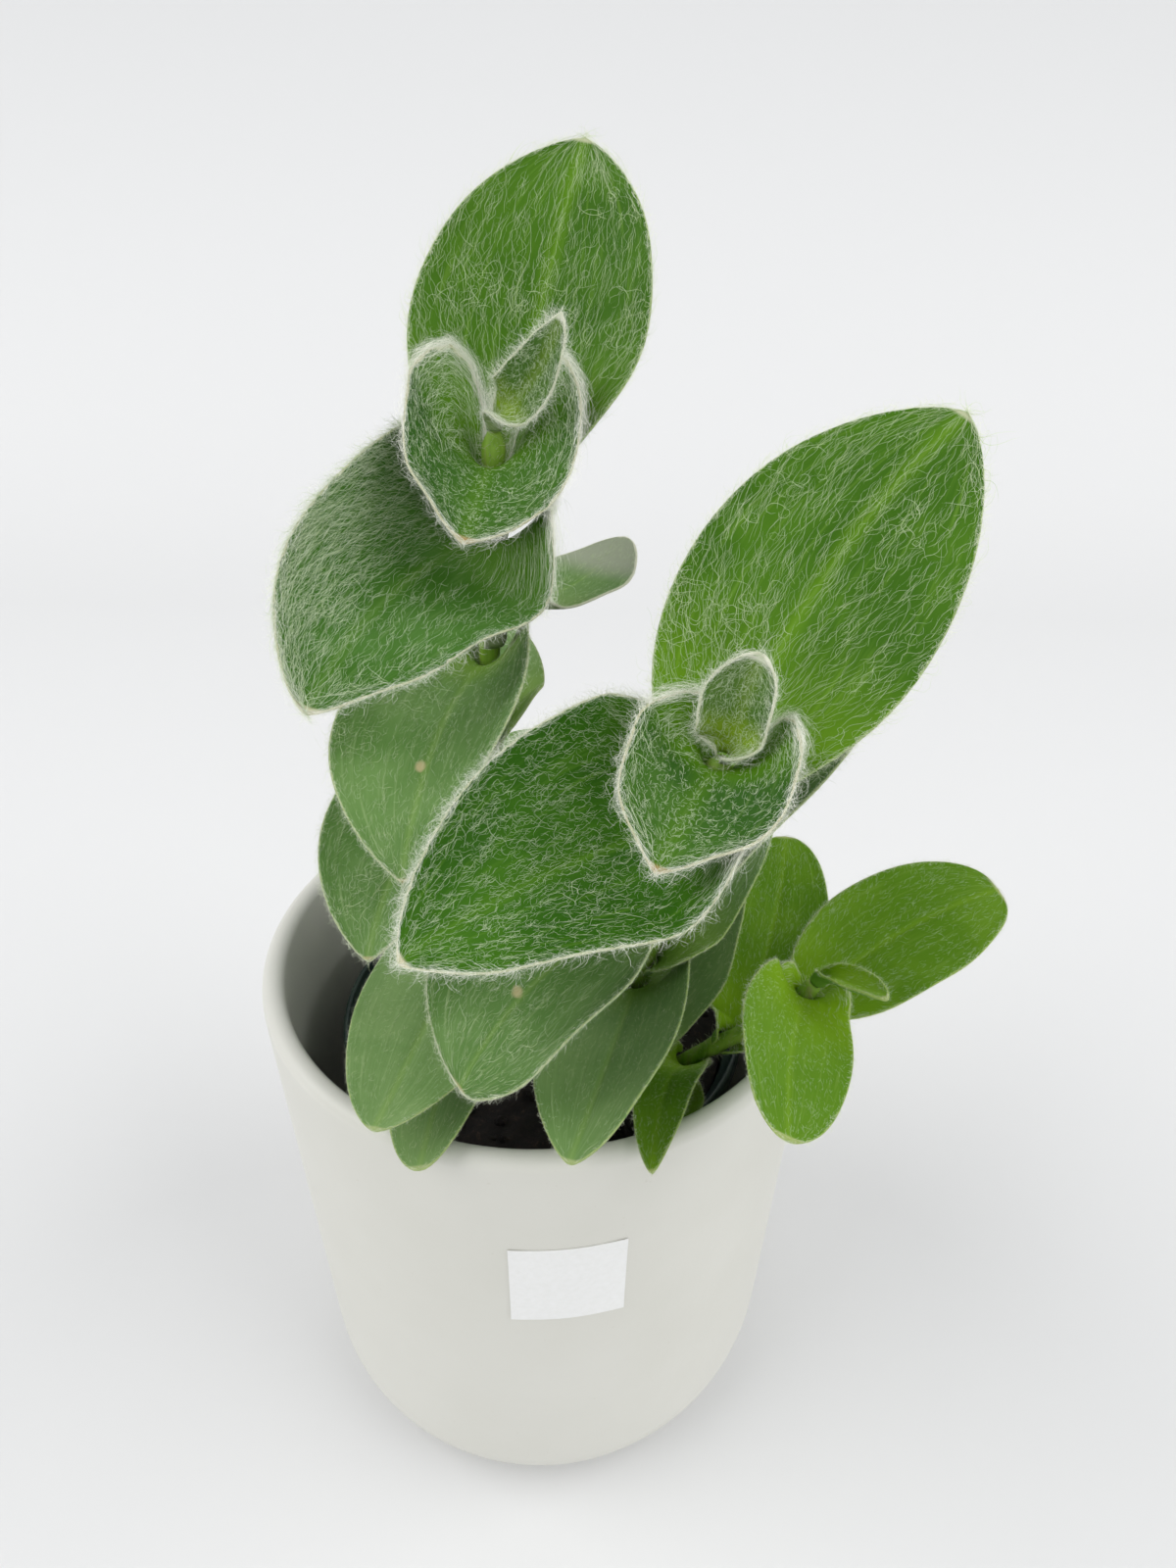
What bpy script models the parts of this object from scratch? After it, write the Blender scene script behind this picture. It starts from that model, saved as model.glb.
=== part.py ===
# A potted tradescantia with broad woolly leaves. Three leafy shoots stand in the soil of a thin
# nursery pot, which rests inside a round glazed planter.
# Metres, +Z up. The origin is the centre of the planter's flat underside. -Y is the front, and +X
# is the right of a viewer who faces the front.

import math
import random
from dataclasses import dataclass

import bmesh
import bpy
from mathutils import Vector

MM = 0.001
GAP = 0.3 * MM  # between pieces that touch

# Planter
PLANTER_RADIUS = 60 * MM  # outside, at the rim
PLANTER_HEIGHT = 125 * MM
PLANTER_FOOT_RADIUS = 58.5 * MM  # where the wall would reach the ground without its rounded foot
PLANTER_WALL = 4.5 * MM
PLANTER_FLOOR = 6 * MM
FOOT_ROUNDING = 20 * MM
INNER_ROUNDING = 8 * MM
PLANTER_SIDES = 48

# Nursery pot, inside the planter
NURSERY_RIM_RADIUS = 46 * MM
NURSERY_FOOT_RADIUS = 34 * MM
NURSERY_WALL = 1.2 * MM
NURSERY_RIM_BELOW_PLANTER = 21 * MM
NURSERY_LIP = 2.2 * MM  # how far the turned rim stands out of the wall
NURSERY_LIP_HEIGHT = 5 * MM
NURSERY_FOOT_BEVEL = 2 * MM
NURSERY_SIDES = 40
DRAIN_COUNT = 4
DRAIN_RADIUS = 4 * MM
DRAIN_RING = 20 * MM  # from the axis to the middle of each drain hole
DRAIN_SIDES = 12
CUTTER_REACH = 3 * MM  # how far a drain cutter passes each face of the floor

# Soil, in the nursery pot
SOIL_BELOW_NURSERY_RIM = 8 * MM
SOIL_BUMP = 1.3 * MM  # up and down from the level of its top
SOIL_RINGS = 7
SOIL_SIDES = 28
HOLE_ROOM = 0.7 * MM  # all round a stem
HOLE_SIDES = 12

# Paper label on the planter's front
LABEL_WIDTH = 22 * MM
LABEL_HEIGHT = 22.5 * MM
LABEL_THICKNESS = 0.4 * MM
LABEL_ROOM = 0.05 * MM  # more than the gap, because its flat facets cut inside the round wall
LABEL_COLUMNS = 6
LABEL_MIDDLE = 90 * MM  # above the planter's foot
LABEL_TURN = -83  # degrees round the planter, from +X

# Stems
STEM_DEPTH_IN_SOIL = 24 * MM
STEM_UPRIGHT = 1 * MM  # how far above the soil a stem is still upright
STEM_RINGS = 24

# Leaves
BLADE = 1.0 * MM  # thickness of a grown leaf
YOUNG_BLADE = 0.8 * MM
WRAP = 150  # degrees from the midrib to each edge of the sheath
CLASP_ROOM = 0.1 * MM  # between a sheath and its stem, besides the gap
BUD_FOOT_RADIUS = 1.2 * MM
BUD_SHEATH = 1.2 * MM
LEAF_COLUMNS = 6
SHEATH_ROWS = (0, 0.5)  # shares of the sheath's length
NECK_ROWS = (0, 0.25, 0.5, 0.8, 1.2)  # shares of the neck's length, from the sheath's end
BLADE_ROWS = 7  # past the neck
TIP_CROWDING = 1.7  # more than 1 puts the rows closer together near the tip
FOOT_SHARPNESS = 0.8  # how the outline narrows towards the stem: 0.5 is round and 1 is pointed
LOBE_START = 0.6  # the share of its neck in which a leaf's lobes come to hang back in full
LOBE_END = 0.6  # the share of a blade's length along which its lobes fade out
CUP_FADE = 0.4  # the share of its cup that a blade loses by its tip
MIDRIB_STEP = 0.5 * MM

RANDOM_SEED = 5

for thing in list(bpy.data.objects):
    bpy.data.objects.remove(thing)

rng = random.Random(RANDOM_SEED)
nursery_rim = PLANTER_HEIGHT - NURSERY_RIM_BELOW_PLANTER
nursery_foot = PLANTER_FLOOR + GAP
soil_top = nursery_rim - SOIL_BELOW_NURSERY_RIM
stem_foot = soil_top - STEM_DEPTH_IN_SOIL


# Materials

def material(name, colour, roughness):
    made = bpy.data.materials.new(name)
    made.use_nodes = True
    shader = made.node_tree.nodes["Principled BSDF"]
    shader.inputs["Base Color"].default_value = (*colour, 1)
    shader.inputs["Roughness"].default_value = roughness
    shader.inputs["Metallic"].default_value = 0
    return made


glaze = material("matt_white_glaze", (0.80, 0.79, 0.76), 0.45)
green_plastic = material("dark_green_plastic", (0.012, 0.030, 0.026), 0.5)
potting_mix = material("black_potting_mix", (0.020, 0.015, 0.011), 0.95)
label_paper = material("bare_white_paper", (0.86, 0.86, 0.85), 0.6)
stem_skin = material("pale_hairy_stem", (0.26, 0.36, 0.13), 0.7)
leaf_skin = material("woolly_green_leaf", (0.10, 0.24, 0.045), 0.7)
young_skin = material("woolly_grey_green_leaf", (0.17, 0.28, 0.13), 0.75)


# Shared shaping

def new_object(name, mesh, skin):
    made = bpy.data.objects.new(name, mesh)
    bpy.context.collection.objects.link(made)
    mesh.materials.append(skin)
    return made


def turned(name, profile, skin, steps):
    """A solid of revolution. Its profile of (radius, height) runs from the axis inside, over the rim and
    down the outside, back to the axis."""
    mesh = bpy.data.meshes.new(name)
    points = [(radius, 0, height) for radius, height in profile]
    edges = [(i, i + 1) for i in range(len(points) - 1)]
    mesh.from_pydata(points, edges, [])
    made = new_object(name, mesh, skin)
    screw = made.modifiers.new("Turn", "SCREW")
    screw.steps = steps
    screw.render_steps = steps
    screw.use_merge_vertices = True
    screw.merge_threshold = 0.00001
    screw.use_smooth_shade = True
    return made


def arc(centre, radius, start, end, steps):
    """Points (radius, height) of an arc. Its angles are in degrees, up from the outward direction."""
    points = []
    for i in range(steps + 1):
        angle = math.radians(start + (end - start) * i / steps)
        points.append((centre[0] + radius * math.cos(angle), centre[1] + radius * math.sin(angle)))
    return points


def cut(target, cutters):
    """Takes the cutters' space out of the target and leaves the cutters hidden."""
    for cutter in cutters:
        boolean = target.modifiers.new("Cut", "BOOLEAN")
        boolean.operation = "DIFFERENCE"
        boolean.object = cutter
        cutter.hide_render = True
        cutter.display_type = "WIRE"


def upright_cylinder(name, centre, radius, bottom, top, sides):
    shape = bmesh.new()
    bmesh.ops.create_cone(
        shape, cap_ends=True, segments=sides, radius1=radius, radius2=radius, depth=top - bottom
    )
    mesh = bpy.data.meshes.new(name)
    shape.to_mesh(mesh)
    shape.free()
    made = bpy.data.objects.new(name, mesh)
    bpy.context.collection.objects.link(made)
    made.location = (centre[0], centre[1], (top + bottom) / 2)
    return made


def ease(value):
    """0 to 1 with no corner at either end."""
    value = min(max(value, 0), 1)
    return value * value * (3 - 2 * value)


# Planter

def planter():
    inner_rim = PLANTER_RADIUS - PLANTER_WALL
    inner_foot = PLANTER_FOOT_RADIUS - PLANTER_WALL
    half_wall = PLANTER_WALL / 2
    lip = (PLANTER_RADIUS - half_wall, PLANTER_HEIGHT - half_wall)
    profile = [(0, PLANTER_FLOOR)]
    inner_arc = (inner_foot - INNER_ROUNDING, PLANTER_FLOOR + INNER_ROUNDING)
    profile += arc(inner_arc, INNER_ROUNDING, -90, 0, 3)
    profile += [(inner_rim, lip[1])]
    profile += arc(lip, half_wall, 180, 0, 6)[1:]
    outer_arc = (PLANTER_FOOT_RADIUS - FOOT_ROUNDING, FOOT_ROUNDING)
    profile += arc(outer_arc, FOOT_ROUNDING, 0, -90, 6)
    profile += [(0, 0)]
    return turned("planter", profile, glaze, PLANTER_SIDES)


# Nursery pot

def nursery_pot():
    wall_top = nursery_rim - NURSERY_LIP_HEIGHT
    lip_radius = NURSERY_RIM_RADIUS
    wall_radius = NURSERY_RIM_RADIUS - NURSERY_LIP
    profile = [
        (0, nursery_foot + NURSERY_WALL),
        (NURSERY_FOOT_RADIUS - NURSERY_WALL, nursery_foot + NURSERY_WALL),
        (wall_radius - NURSERY_WALL, wall_top),
        (lip_radius - NURSERY_WALL, nursery_rim - NURSERY_WALL),
        (lip_radius - NURSERY_WALL, nursery_rim),
        (lip_radius, nursery_rim),
        (lip_radius, wall_top),
        (wall_radius, wall_top - NURSERY_WALL),
        (NURSERY_FOOT_RADIUS, nursery_foot + NURSERY_FOOT_BEVEL),
        (NURSERY_FOOT_RADIUS - NURSERY_FOOT_BEVEL, nursery_foot),
        (0, nursery_foot),
    ]
    made = turned("nursery_pot", profile, green_plastic, NURSERY_SIDES)
    low = nursery_foot - CUTTER_REACH
    high = nursery_foot + NURSERY_WALL + CUTTER_REACH
    drains = []
    for i in range(DRAIN_COUNT):
        angle = math.tau * (i + 0.5) / DRAIN_COUNT
        centre = (DRAIN_RING * math.cos(angle), DRAIN_RING * math.sin(angle))
        name = f"drain_cutter_{i}"
        drains.append(upright_cylinder(name, centre, DRAIN_RADIUS, low, high, DRAIN_SIDES))
    cut(made, drains)
    return made


# Stems

def smooth_path(guide, steps):
    """Points of a curve that passes through the guide points without corners."""
    knots = [2 * guide[0] - guide[1], *guide, 2 * guide[-1] - guide[-2]]
    stretches = len(knots) - 3
    path = []
    for i in range(steps + 1):
        place = i / steps * stretches
        k = min(int(place), stretches - 1)
        t = place - k
        a, b, c, d = knots[k : k + 4]
        slope = c - a
        curve = 2 * a - 5 * b + 4 * c - d
        twist = 3 * b - a - 3 * c + d
        path.append(b + (slope * t + curve * t**2 + twist * t**3) / 2)
    return path


def at_height(path, height):
    """The point of a rising path at this height, and the path's direction there."""
    for low, high in zip(path[:-1], path[1:]):
        if low.z <= height <= high.z:
            share = (height - low.z) / (high.z - low.z)
            return low.lerp(high, share), (high - low).normalized()
    return path[-1], (path[-1] - path[-2]).normalized()


def stem(name, path, foot_radius, tip_radius):
    """A round stem along the path, thinner towards its tip."""
    curve = bpy.data.curves.new(name, "CURVE")
    curve.dimensions = "3D"
    curve.bevel_depth = foot_radius
    curve.bevel_resolution = 2
    curve.use_fill_caps = True
    curve.materials.append(stem_skin)
    spline = curve.splines.new("POLY")
    spline.points.add(len(path) - 1)
    for i, place in enumerate(path):
        spline.points[i].co = (*place, 1)
        spline.points[i].radius = 1 + (tip_radius / foot_radius - 1) * i / (len(path) - 1)
    spline.use_smooth = True
    made = bpy.data.objects.new(name, curve)
    bpy.context.collection.objects.link(made)
    return made


# Leaves

@dataclass
class Leaf:
    """One leaf. Lengths are in mm and angles in degrees."""

    height: float  # where it leaves its stem, above the planter's foot
    heading: float  # round from +X
    rise: float  # above level, at its foot
    length: float  # past the sheath
    width: float
    droop: float = 20  # how far it bends down by its tip
    cup: float = 22  # from the midrib to each edge, across the blade
    roll: float = 0  # about the midrib
    sway: float = 0  # how far its heading turns by its tip
    lobe: float = 3  # how far the lobes at its foot reach back past the stem
    broad: float = 0.2  # 0 is widest halfway, and more is wider near the foot
    sharp: float = 0.7  # 0.5 is a round tip and 1 a pointed one
    neck: float = 0  # the stretch in which it opens, or 0 for its shoot's
    lobe_rise: float = 0.5  # how far the lobes at its foot also rise, as a share of lobe
    bud: bool = False  # a folded young leaf that stands on the stem's tip
    young: bool = False


def towards(heading, rise):
    flat = math.cos(math.radians(rise))
    turn = math.radians(heading)
    return Vector((flat * math.cos(turn), flat * math.sin(turn), math.sin(math.radians(rise))))


def outline(leaf, share):
    """Half the blade's width at a share of its length, as a share of half its full width."""
    place = leaf.broad + (1 - leaf.broad) * share
    sharpness = leaf.sharp if place > 0.5 else FOOT_SHARPNESS
    return max(4 * place * (1 - place), 0) ** sharpness


def foot_stretches(leaf, shoot):
    """The lengths of the leaf's sheath, and of the stretch in which it opens into the blade."""
    sheath = BUD_SHEATH if leaf.bud else shoot.sheath * MM
    return sheath, (leaf.neck or shoot.neck) * MM


def leaf_section(leaf, shoot, along, outwards, clasp, midrib, reach):
    """The points across the leaf, from edge to edge, at this length of reach from its foot."""
    sheath, neck = foot_stretches(leaf, shoot)
    share = min(max((reach - sheath) / (leaf.length * MM), 0), 1)
    turned_out = ease((reach - sheath * 0.6) / neck)
    opened = ease((reach - sheath * 0.5) / neck)
    heading = leaf.heading + leaf.sway * share
    blade_way = towards(heading, leaf.rise - leaf.droop * share)
    forwards = (along * (1 - turned_out) + blade_way * turned_out).normalized()
    level = towards(leaf.heading + 90, 0)
    across = (level - forwards * level.dot(forwards)).normalized()
    upper = forwards.cross(across)
    if upper.dot(Vector((0, 0, turned_out)) - outwards * (1 - turned_out)) < 0:
        upper = -upper
    roll = math.radians(leaf.roll) * ease((reach - sheath) / (neck * 1.5))
    across, upper = (
        across * math.cos(roll) + upper * math.sin(roll),
        upper * math.cos(roll) - across * math.sin(roll),
    )
    sheath_half = clasp * math.radians(WRAP)
    half = sheath_half * (1 - opened) + leaf.width * MM / 2 * outline(leaf, share) * opened
    half = max(half, BLADE / 2)
    cup = leaf.cup * (1 - CUP_FADE * share)
    bend = math.radians(WRAP * (1 - opened) + cup * opened)
    radius = half / bend
    hung = ease((reach - sheath * 0.5) / (neck * LOBE_START))
    lobe = leaf.lobe * MM * hung * max(0, 1 - share / LOBE_END) ** 1.5
    back = (along * leaf.lobe_rise - towards(leaf.heading, 0)) * lobe
    points = []
    for column in range(LEAF_COLUMNS + 1):
        side = 2 * column / LEAF_COLUMNS - 1
        angle = side * bend
        rim = upper * (radius * (1 - math.cos(angle))) + across * (radius * math.sin(angle))
        points.append(midrib + rim + back * side**2)
    return points, forwards


def leaf_surface(leaf, shoot, path):
    """The rows of points of a leaf's middle surface, from the foot of its sheath to its tip."""
    place, along = at_height(path, leaf.height * MM)
    grown = (leaf.height * MM - path[0].z) / (path[-1].z - path[0].z)
    stem_radius = (shoot.foot_radius + (shoot.tip_radius - shoot.foot_radius) * grown) * MM
    clasp = stem_radius + GAP + BLADE / 2 + CLASP_ROOM
    sheath, neck = foot_stretches(leaf, shoot)
    if leaf.bud:
        clasp = BUD_FOOT_RADIUS
        place = path[-1] + along * (sheath + GAP)
    outwards = towards(leaf.heading + 90, 0).cross(along).normalized()
    if outwards.dot(towards(leaf.heading, 0)) < 0:
        outwards = -outwards
    midrib = place + outwards * clasp - along * sheath

    last = sheath + leaf.length * MM
    rows = [row * sheath for row in SHEATH_ROWS]
    rows += [sheath + row * neck for row in NECK_ROWS]
    neck_end = rows[-1]
    for i in range(1, BLADE_ROWS + 1):
        rows.append(neck_end + (last - neck_end) * (1 - (1 - i / BLADE_ROWS) ** TIP_CROWDING))

    surface = []
    reach = 0
    for row in rows:
        steps = max(1, round((row - reach) / MIDRIB_STEP))
        step = (row - reach) / steps
        for _ in range(steps):
            _, forwards = leaf_section(leaf, shoot, along, outwards, clasp, midrib, reach)
            midrib = midrib + forwards * step
            reach += step
        points, _ = leaf_section(leaf, shoot, along, outwards, clasp, midrib, reach)
        surface.append(points)
    return surface


def leaf_object(name, leaf, shoot, path):
    """A closed leaf: its middle surface, given thickness. Each square is split towards the midrib."""
    surface = leaf_surface(leaf, shoot, path)
    points = [point for row in surface for point in row]
    wide = LEAF_COLUMNS + 1
    faces = []
    for row in range(len(surface) - 1):
        for column in range(LEAF_COLUMNS):
            a = row * wide + column
            b, c, d = a + 1, a + wide + 1, a + wide
            if column < LEAF_COLUMNS / 2:
                faces += [(a, b, d), (b, c, d)]
            else:
                faces += [(a, b, c), (a, c, d)]
    mesh = bpy.data.meshes.new(name)
    mesh.from_pydata(points, [], faces)
    mesh.shade_smooth()
    made = new_object(name, mesh, young_skin if leaf.young or leaf.bud else leaf_skin)
    thicken = made.modifiers.new("Blade", "SOLIDIFY")
    thicken.thickness = YOUNG_BLADE if leaf.bud else BLADE
    thicken.offset = 0
    return made


# The three shoots, in mm. Each guide starts above its stem's upright foot. The leaves run from the
# tip down, and front and back leaves take turns.

@dataclass
class Shoot:
    """One stem with its leaves."""

    name: str
    foot: tuple  # where it stands in the soil
    guide: list
    foot_radius: float
    tip_radius: float
    sheath: float  # the stretch of each leaf that wraps the stem
    neck: float  # the stretch in which it opens into the blade
    leaves: dict


left_shoot = Shoot(
    "left",
    (-13.5, -1),
    [(-13, 0, 130), (-10, 0, 180), (-7, 0, 229)],
    2.3,
    1.8,
    4,
    8,
    {
        "bud": Leaf(
            229, -22, 33, 20.1, 10.1, droop=-38, cup=46, roll=83, sway=-11, lobe=0, broad=0.31,
            sharp=0.78, neck=3.4, bud=True
        ),
        "front_1": Leaf(
            222.3, 264, -15, 21, 30, droop=17, cup=42, roll=-19, sway=-3, lobe=9, broad=0.4, sharp=0.9,
            neck=6, lobe_rise=1.5, young=True
        ),
        "back_1": Leaf(
            216, 68, 63, 64.8, 42, droop=9, cup=41, roll=12, sway=-4, lobe=4.1, broad=0.05,
            sharp=0.78, neck=3.5
        ),
        "front_2": Leaf(
            210.5, 225, -8, 46.3, 44, droop=25, cup=61, roll=-45, sway=29, lobe=1.5, broad=0.49,
            sharp=0.72, neck=5, lobe_rise=0
        ),
        "back_2": Leaf(
            196.5, 45, -18, 36.3, 26.6, droop=-54, cup=18, roll=-4, sway=3, lobe=0, broad=0.21,
            sharp=0.61, neck=7.5
        ),
        "front_3": Leaf(
            188.2, 253, 0, 48.4, 35.1, droop=46, cup=57, roll=9, sway=12, lobe=6.5, broad=0.08,
            sharp=0.92, neck=4.4, lobe_rise=0.7
        ),
        "back_3": Leaf(174, 108, 25, 42, 28, droop=30),
        "front_4": Leaf(
            161.1, 243, 25, 48.9, 35.3, droop=61, cup=36, roll=-3, sway=23, broad=0.29, sharp=0.81,
            neck=3.3, lobe_rise=0.3
        ),
        "back_4": Leaf(148, 60, 20, 50, 30, droop=35),
        "front_5": Leaf(
            134.2, 262, 2, 59.7, 29.3, droop=1, cup=5, roll=1, sway=-3, lobe=2, broad=0.14, sharp=0.65,
            neck=2.7, lobe_rise=0.8
        ),
        "back_5": Leaf(122, 60, 12, 44, 28, droop=15),
        "front_6": Leaf(
            108.9, 266, 31, 63.3, 23.7, droop=31, cup=29, roll=16, sway=2, lobe=2.8, broad=0.27,
            sharp=0.49, neck=6.4
        ),
    },
)
right_shoot = Shoot(
    "right",
    (14.5, -13),
    [(17, -20, 120), (23, -34, 160), (28, -44.6, 193.5)],
    2.3,
    1.8,
    4,
    8,
    {
        "bud": Leaf(
            193.5, 25, 88, 14.5, 13.4, droop=19, cup=85, roll=35, sway=2, lobe=0, broad=0.22,
            sharp=0.62, neck=2.6, bud=True
        ),
        "front_1": Leaf(
            193, 239, -9, 19.3, 25.6, droop=31, cup=55, roll=-18, lobe=4, broad=0.32, sharp=1, neck=4.9,
            lobe_rise=0.8, young=True
        ),
        "back_1": Leaf(
            184.9, 52, 59, 67.3, 39.4, droop=23, cup=11, roll=12, sway=-28, lobe=2.2, broad=0.07,
            sharp=0.72, neck=3.3, lobe_rise=0.9
        ),
        "front_2": Leaf(
            175.4, 199, -3, 48.6, 47, droop=21, cup=61, roll=-27, sway=13, lobe=2.4, broad=0.48,
            sharp=0.8, neck=10.5, lobe_rise=1.1
        ),
        "back_2": Leaf(
            167, 35, 43, 71.6, 25.4, droop=5, cup=30, roll=-3, sway=-5, lobe=2, broad=0.26, sharp=0.72,
            neck=7.1, lobe_rise=0.9
        ),
        "front_3": Leaf(
            158.4, 203, -7, 44, 44.7, droop=47, cup=54, roll=-2, sway=23, lobe=0.8, broad=0.04,
            sharp=0.68, neck=3.4
        ),
        "back_3": Leaf(144, 60, 45, 48, 30, droop=10),
        "front_4": Leaf(
            133.9, 260, 26, 44.3, 28.3, droop=44, cup=48, roll=20, sway=-11, lobe=9, sharp=0.69,
            neck=6.3
        ),
        "back_4": Leaf(
            118.2, 8, 61, 42.2, 26.4, droop=-5, cup=10, roll=24, sway=-3, lobe=2, broad=0.28,
            sharp=0.69, neck=3, lobe_rise=0.6
        ),
    },
)
side_shoot = Shoot(
    "side",
    (26, -20),
    [(29, -24, 109), (37, -29, 122), (46, -34, 134), (50, -36, 144)],
    1.8,
    1.4,
    2.5,
    5,
    {
        "bud": Leaf(
            144, -59, 24, 15.1, 8.1, droop=2, cup=64, roll=-3, sway=-2, lobe=0, broad=0.17, sharp=0.67,
            neck=4.6, bud=True
        ),
        "front_1": Leaf(
            141.3, 245, 26, 37.2, 20.7, droop=32, cup=20, roll=-27, sway=16, lobe=2.3, broad=0.16,
            sharp=0.49, neck=2.5, lobe_rise=0.6
        ),
        "back_1": Leaf(
            133.9, 30, 36, 46.8, 24.9, droop=25, cup=24, roll=11, sway=-17, lobe=0.1, broad=0.02,
            sharp=0.42, neck=5.4
        ),
        "back_2": Leaf(
            123, 58, 32, 44.9, 22.2, droop=5, cup=16, roll=9, sway=24, lobe=0.3, broad=0.11, sharp=0.45,
            neck=3.9
        ),
        "front_2": Leaf(
            112.2, 245, 52, 42.1, 11.7, droop=58, cup=23, roll=14, sway=19, lobe=1.3, broad=0.23,
            sharp=0.69, neck=3, lobe_rise=0.6
        ),
        "front_3": Leaf(
            102.9, 273, 32, 19.5, 13.2, droop=9, cup=26, roll=9, sway=5, lobe=0.8, broad=0.23,
            sharp=0.65, neck=2.6, lobe_rise=0.9
        ),
    },
)


def grow(shoot):
    """Makes the shoot's stem and its leaves."""
    foot = Vector((shoot.foot[0] * MM, shoot.foot[1] * MM, stem_foot))
    upright = Vector((0, 0, STEM_DEPTH_IN_SOIL + STEM_UPRIGHT))
    guide = [foot, foot + upright / 2, foot + upright]
    guide += [Vector(point) * MM for point in shoot.guide]
    path = smooth_path(guide, STEM_RINGS)
    stem(f"{shoot.name}_stem", path, shoot.foot_radius * MM, shoot.tip_radius * MM)
    for place, leaf in shoot.leaves.items():
        leaf_object(f"{shoot.name}_leaf_{place}", leaf, shoot, path)


# Soil

def soil_ring(shape, radius, height, bump):
    """A level ring of points, each moved up or down by no more than the bump."""
    ring = []
    for i in range(SOIL_SIDES):
        angle = math.tau * i / SOIL_SIDES
        level = height + bump * rng.uniform(-1, 1)
        ring.append(shape.verts.new((radius * math.cos(angle), radius * math.sin(angle), level)))
    return ring


def soil(shoots):
    """The potting mix, with an uneven top and a plain hole for each stem."""
    foot = nursery_foot + NURSERY_WALL + GAP
    wall_top = nursery_rim - NURSERY_LIP_HEIGHT
    low = NURSERY_FOOT_RADIUS - NURSERY_WALL - GAP
    high = NURSERY_RIM_RADIUS - NURSERY_LIP - NURSERY_WALL - GAP
    top_radius = low + (high - low) * (soil_top - foot) / (wall_top - foot) - GAP
    shape = bmesh.new()
    centre = shape.verts.new((0, 0, soil_top))
    rings = []
    for ring in range(1, SOIL_RINGS + 1):
        bump = SOIL_BUMP if ring < SOIL_RINGS else 0
        rings.append(soil_ring(shape, top_radius * ring / SOIL_RINGS, soil_top, bump))
    rings.append(soil_ring(shape, low, foot, 0))
    for i in range(SOIL_SIDES):
        j = (i + 1) % SOIL_SIDES
        shape.faces.new((centre, rings[0][i], rings[0][j]))
        for inner, outer in zip(rings[:-1], rings[1:]):
            shape.faces.new((inner[i], outer[i], outer[j], inner[j]))
    shape.faces.new(list(reversed(rings[-1])))
    bmesh.ops.triangulate(shape, faces=shape.faces)
    bmesh.ops.recalc_face_normals(shape, faces=shape.faces)
    mesh = bpy.data.meshes.new("soil")
    shape.to_mesh(mesh)
    shape.free()
    made = new_object("soil", mesh, potting_mix)
    holes = []
    for shoot in shoots:
        centre = (shoot.foot[0] * MM, shoot.foot[1] * MM)
        radius = shoot.foot_radius * MM + HOLE_ROOM
        name = f"{shoot.name}_hole_cutter"
        top = soil_top + STEM_DEPTH_IN_SOIL
        holes.append(upright_cylinder(name, centre, radius, stem_foot - GAP, top, HOLE_SIDES))
    cut(made, holes)
    return made


# Paper label

def label():
    """A thin bare label that follows the planter's wall."""
    taper = (PLANTER_RADIUS - PLANTER_FOOT_RADIUS) / PLANTER_HEIGHT
    radius = PLANTER_FOOT_RADIUS + taper * LABEL_MIDDLE + GAP + LABEL_THICKNESS / 2 + LABEL_ROOM
    points = []
    for column in range(LABEL_COLUMNS + 1):
        along = LABEL_WIDTH * (column / LABEL_COLUMNS - 0.5)
        angle = math.radians(LABEL_TURN) + along / radius
        for side in (-1, 1):
            height = LABEL_MIDDLE + side * LABEL_HEIGHT / 2
            points.append((radius * math.cos(angle), radius * math.sin(angle), height))
    faces = [(2 * i, 2 * i + 2, 2 * i + 3, 2 * i + 1) for i in range(LABEL_COLUMNS)]
    mesh = bpy.data.meshes.new("paper_label")
    mesh.from_pydata(points, [], faces)
    made = new_object("paper_label", mesh, label_paper)
    thicken = made.modifiers.new("Paper", "SOLIDIFY")
    thicken.thickness = LABEL_THICKNESS
    thicken.offset = 0
    return made


all_shoots = (left_shoot, right_shoot, side_shoot)
planter()
nursery_pot()
for each in all_shoots:
    grow(each)
soil(all_shoots)
label()
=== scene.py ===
import math

import bpy
import numpy as np
from mathutils import Matrix, Vector


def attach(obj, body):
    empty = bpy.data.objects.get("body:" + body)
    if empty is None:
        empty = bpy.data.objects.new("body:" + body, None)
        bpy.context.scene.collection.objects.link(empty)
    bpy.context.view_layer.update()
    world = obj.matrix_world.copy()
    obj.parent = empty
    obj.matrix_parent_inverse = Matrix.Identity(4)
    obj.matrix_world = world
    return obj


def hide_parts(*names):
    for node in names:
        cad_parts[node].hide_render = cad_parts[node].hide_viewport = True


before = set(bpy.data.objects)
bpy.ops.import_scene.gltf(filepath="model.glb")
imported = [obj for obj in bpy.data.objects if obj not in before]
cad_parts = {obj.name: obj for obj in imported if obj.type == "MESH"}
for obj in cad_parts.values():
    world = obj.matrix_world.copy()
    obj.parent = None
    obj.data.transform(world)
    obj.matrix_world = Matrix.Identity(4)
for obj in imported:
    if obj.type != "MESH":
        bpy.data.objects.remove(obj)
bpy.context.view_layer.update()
print("frame:", len(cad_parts), "nodes")

# Metres, with +Z up, -Y to the front and the origin under the middle of the planter. Sizes below are in mm.
mm = 0.001
rng = np.random.default_rng(21)


# Shared tools

def hexColour(code):  # sRGB hex to the linear colour that shaders take
    channels = [int(code[i : i + 2], 16) / 255 for i in (1, 3, 5)]
    return (*[c / 12.92 if c <= 0.04045 else ((c + 0.055) / 1.055) ** 2.4 for c in channels], 1)


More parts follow.
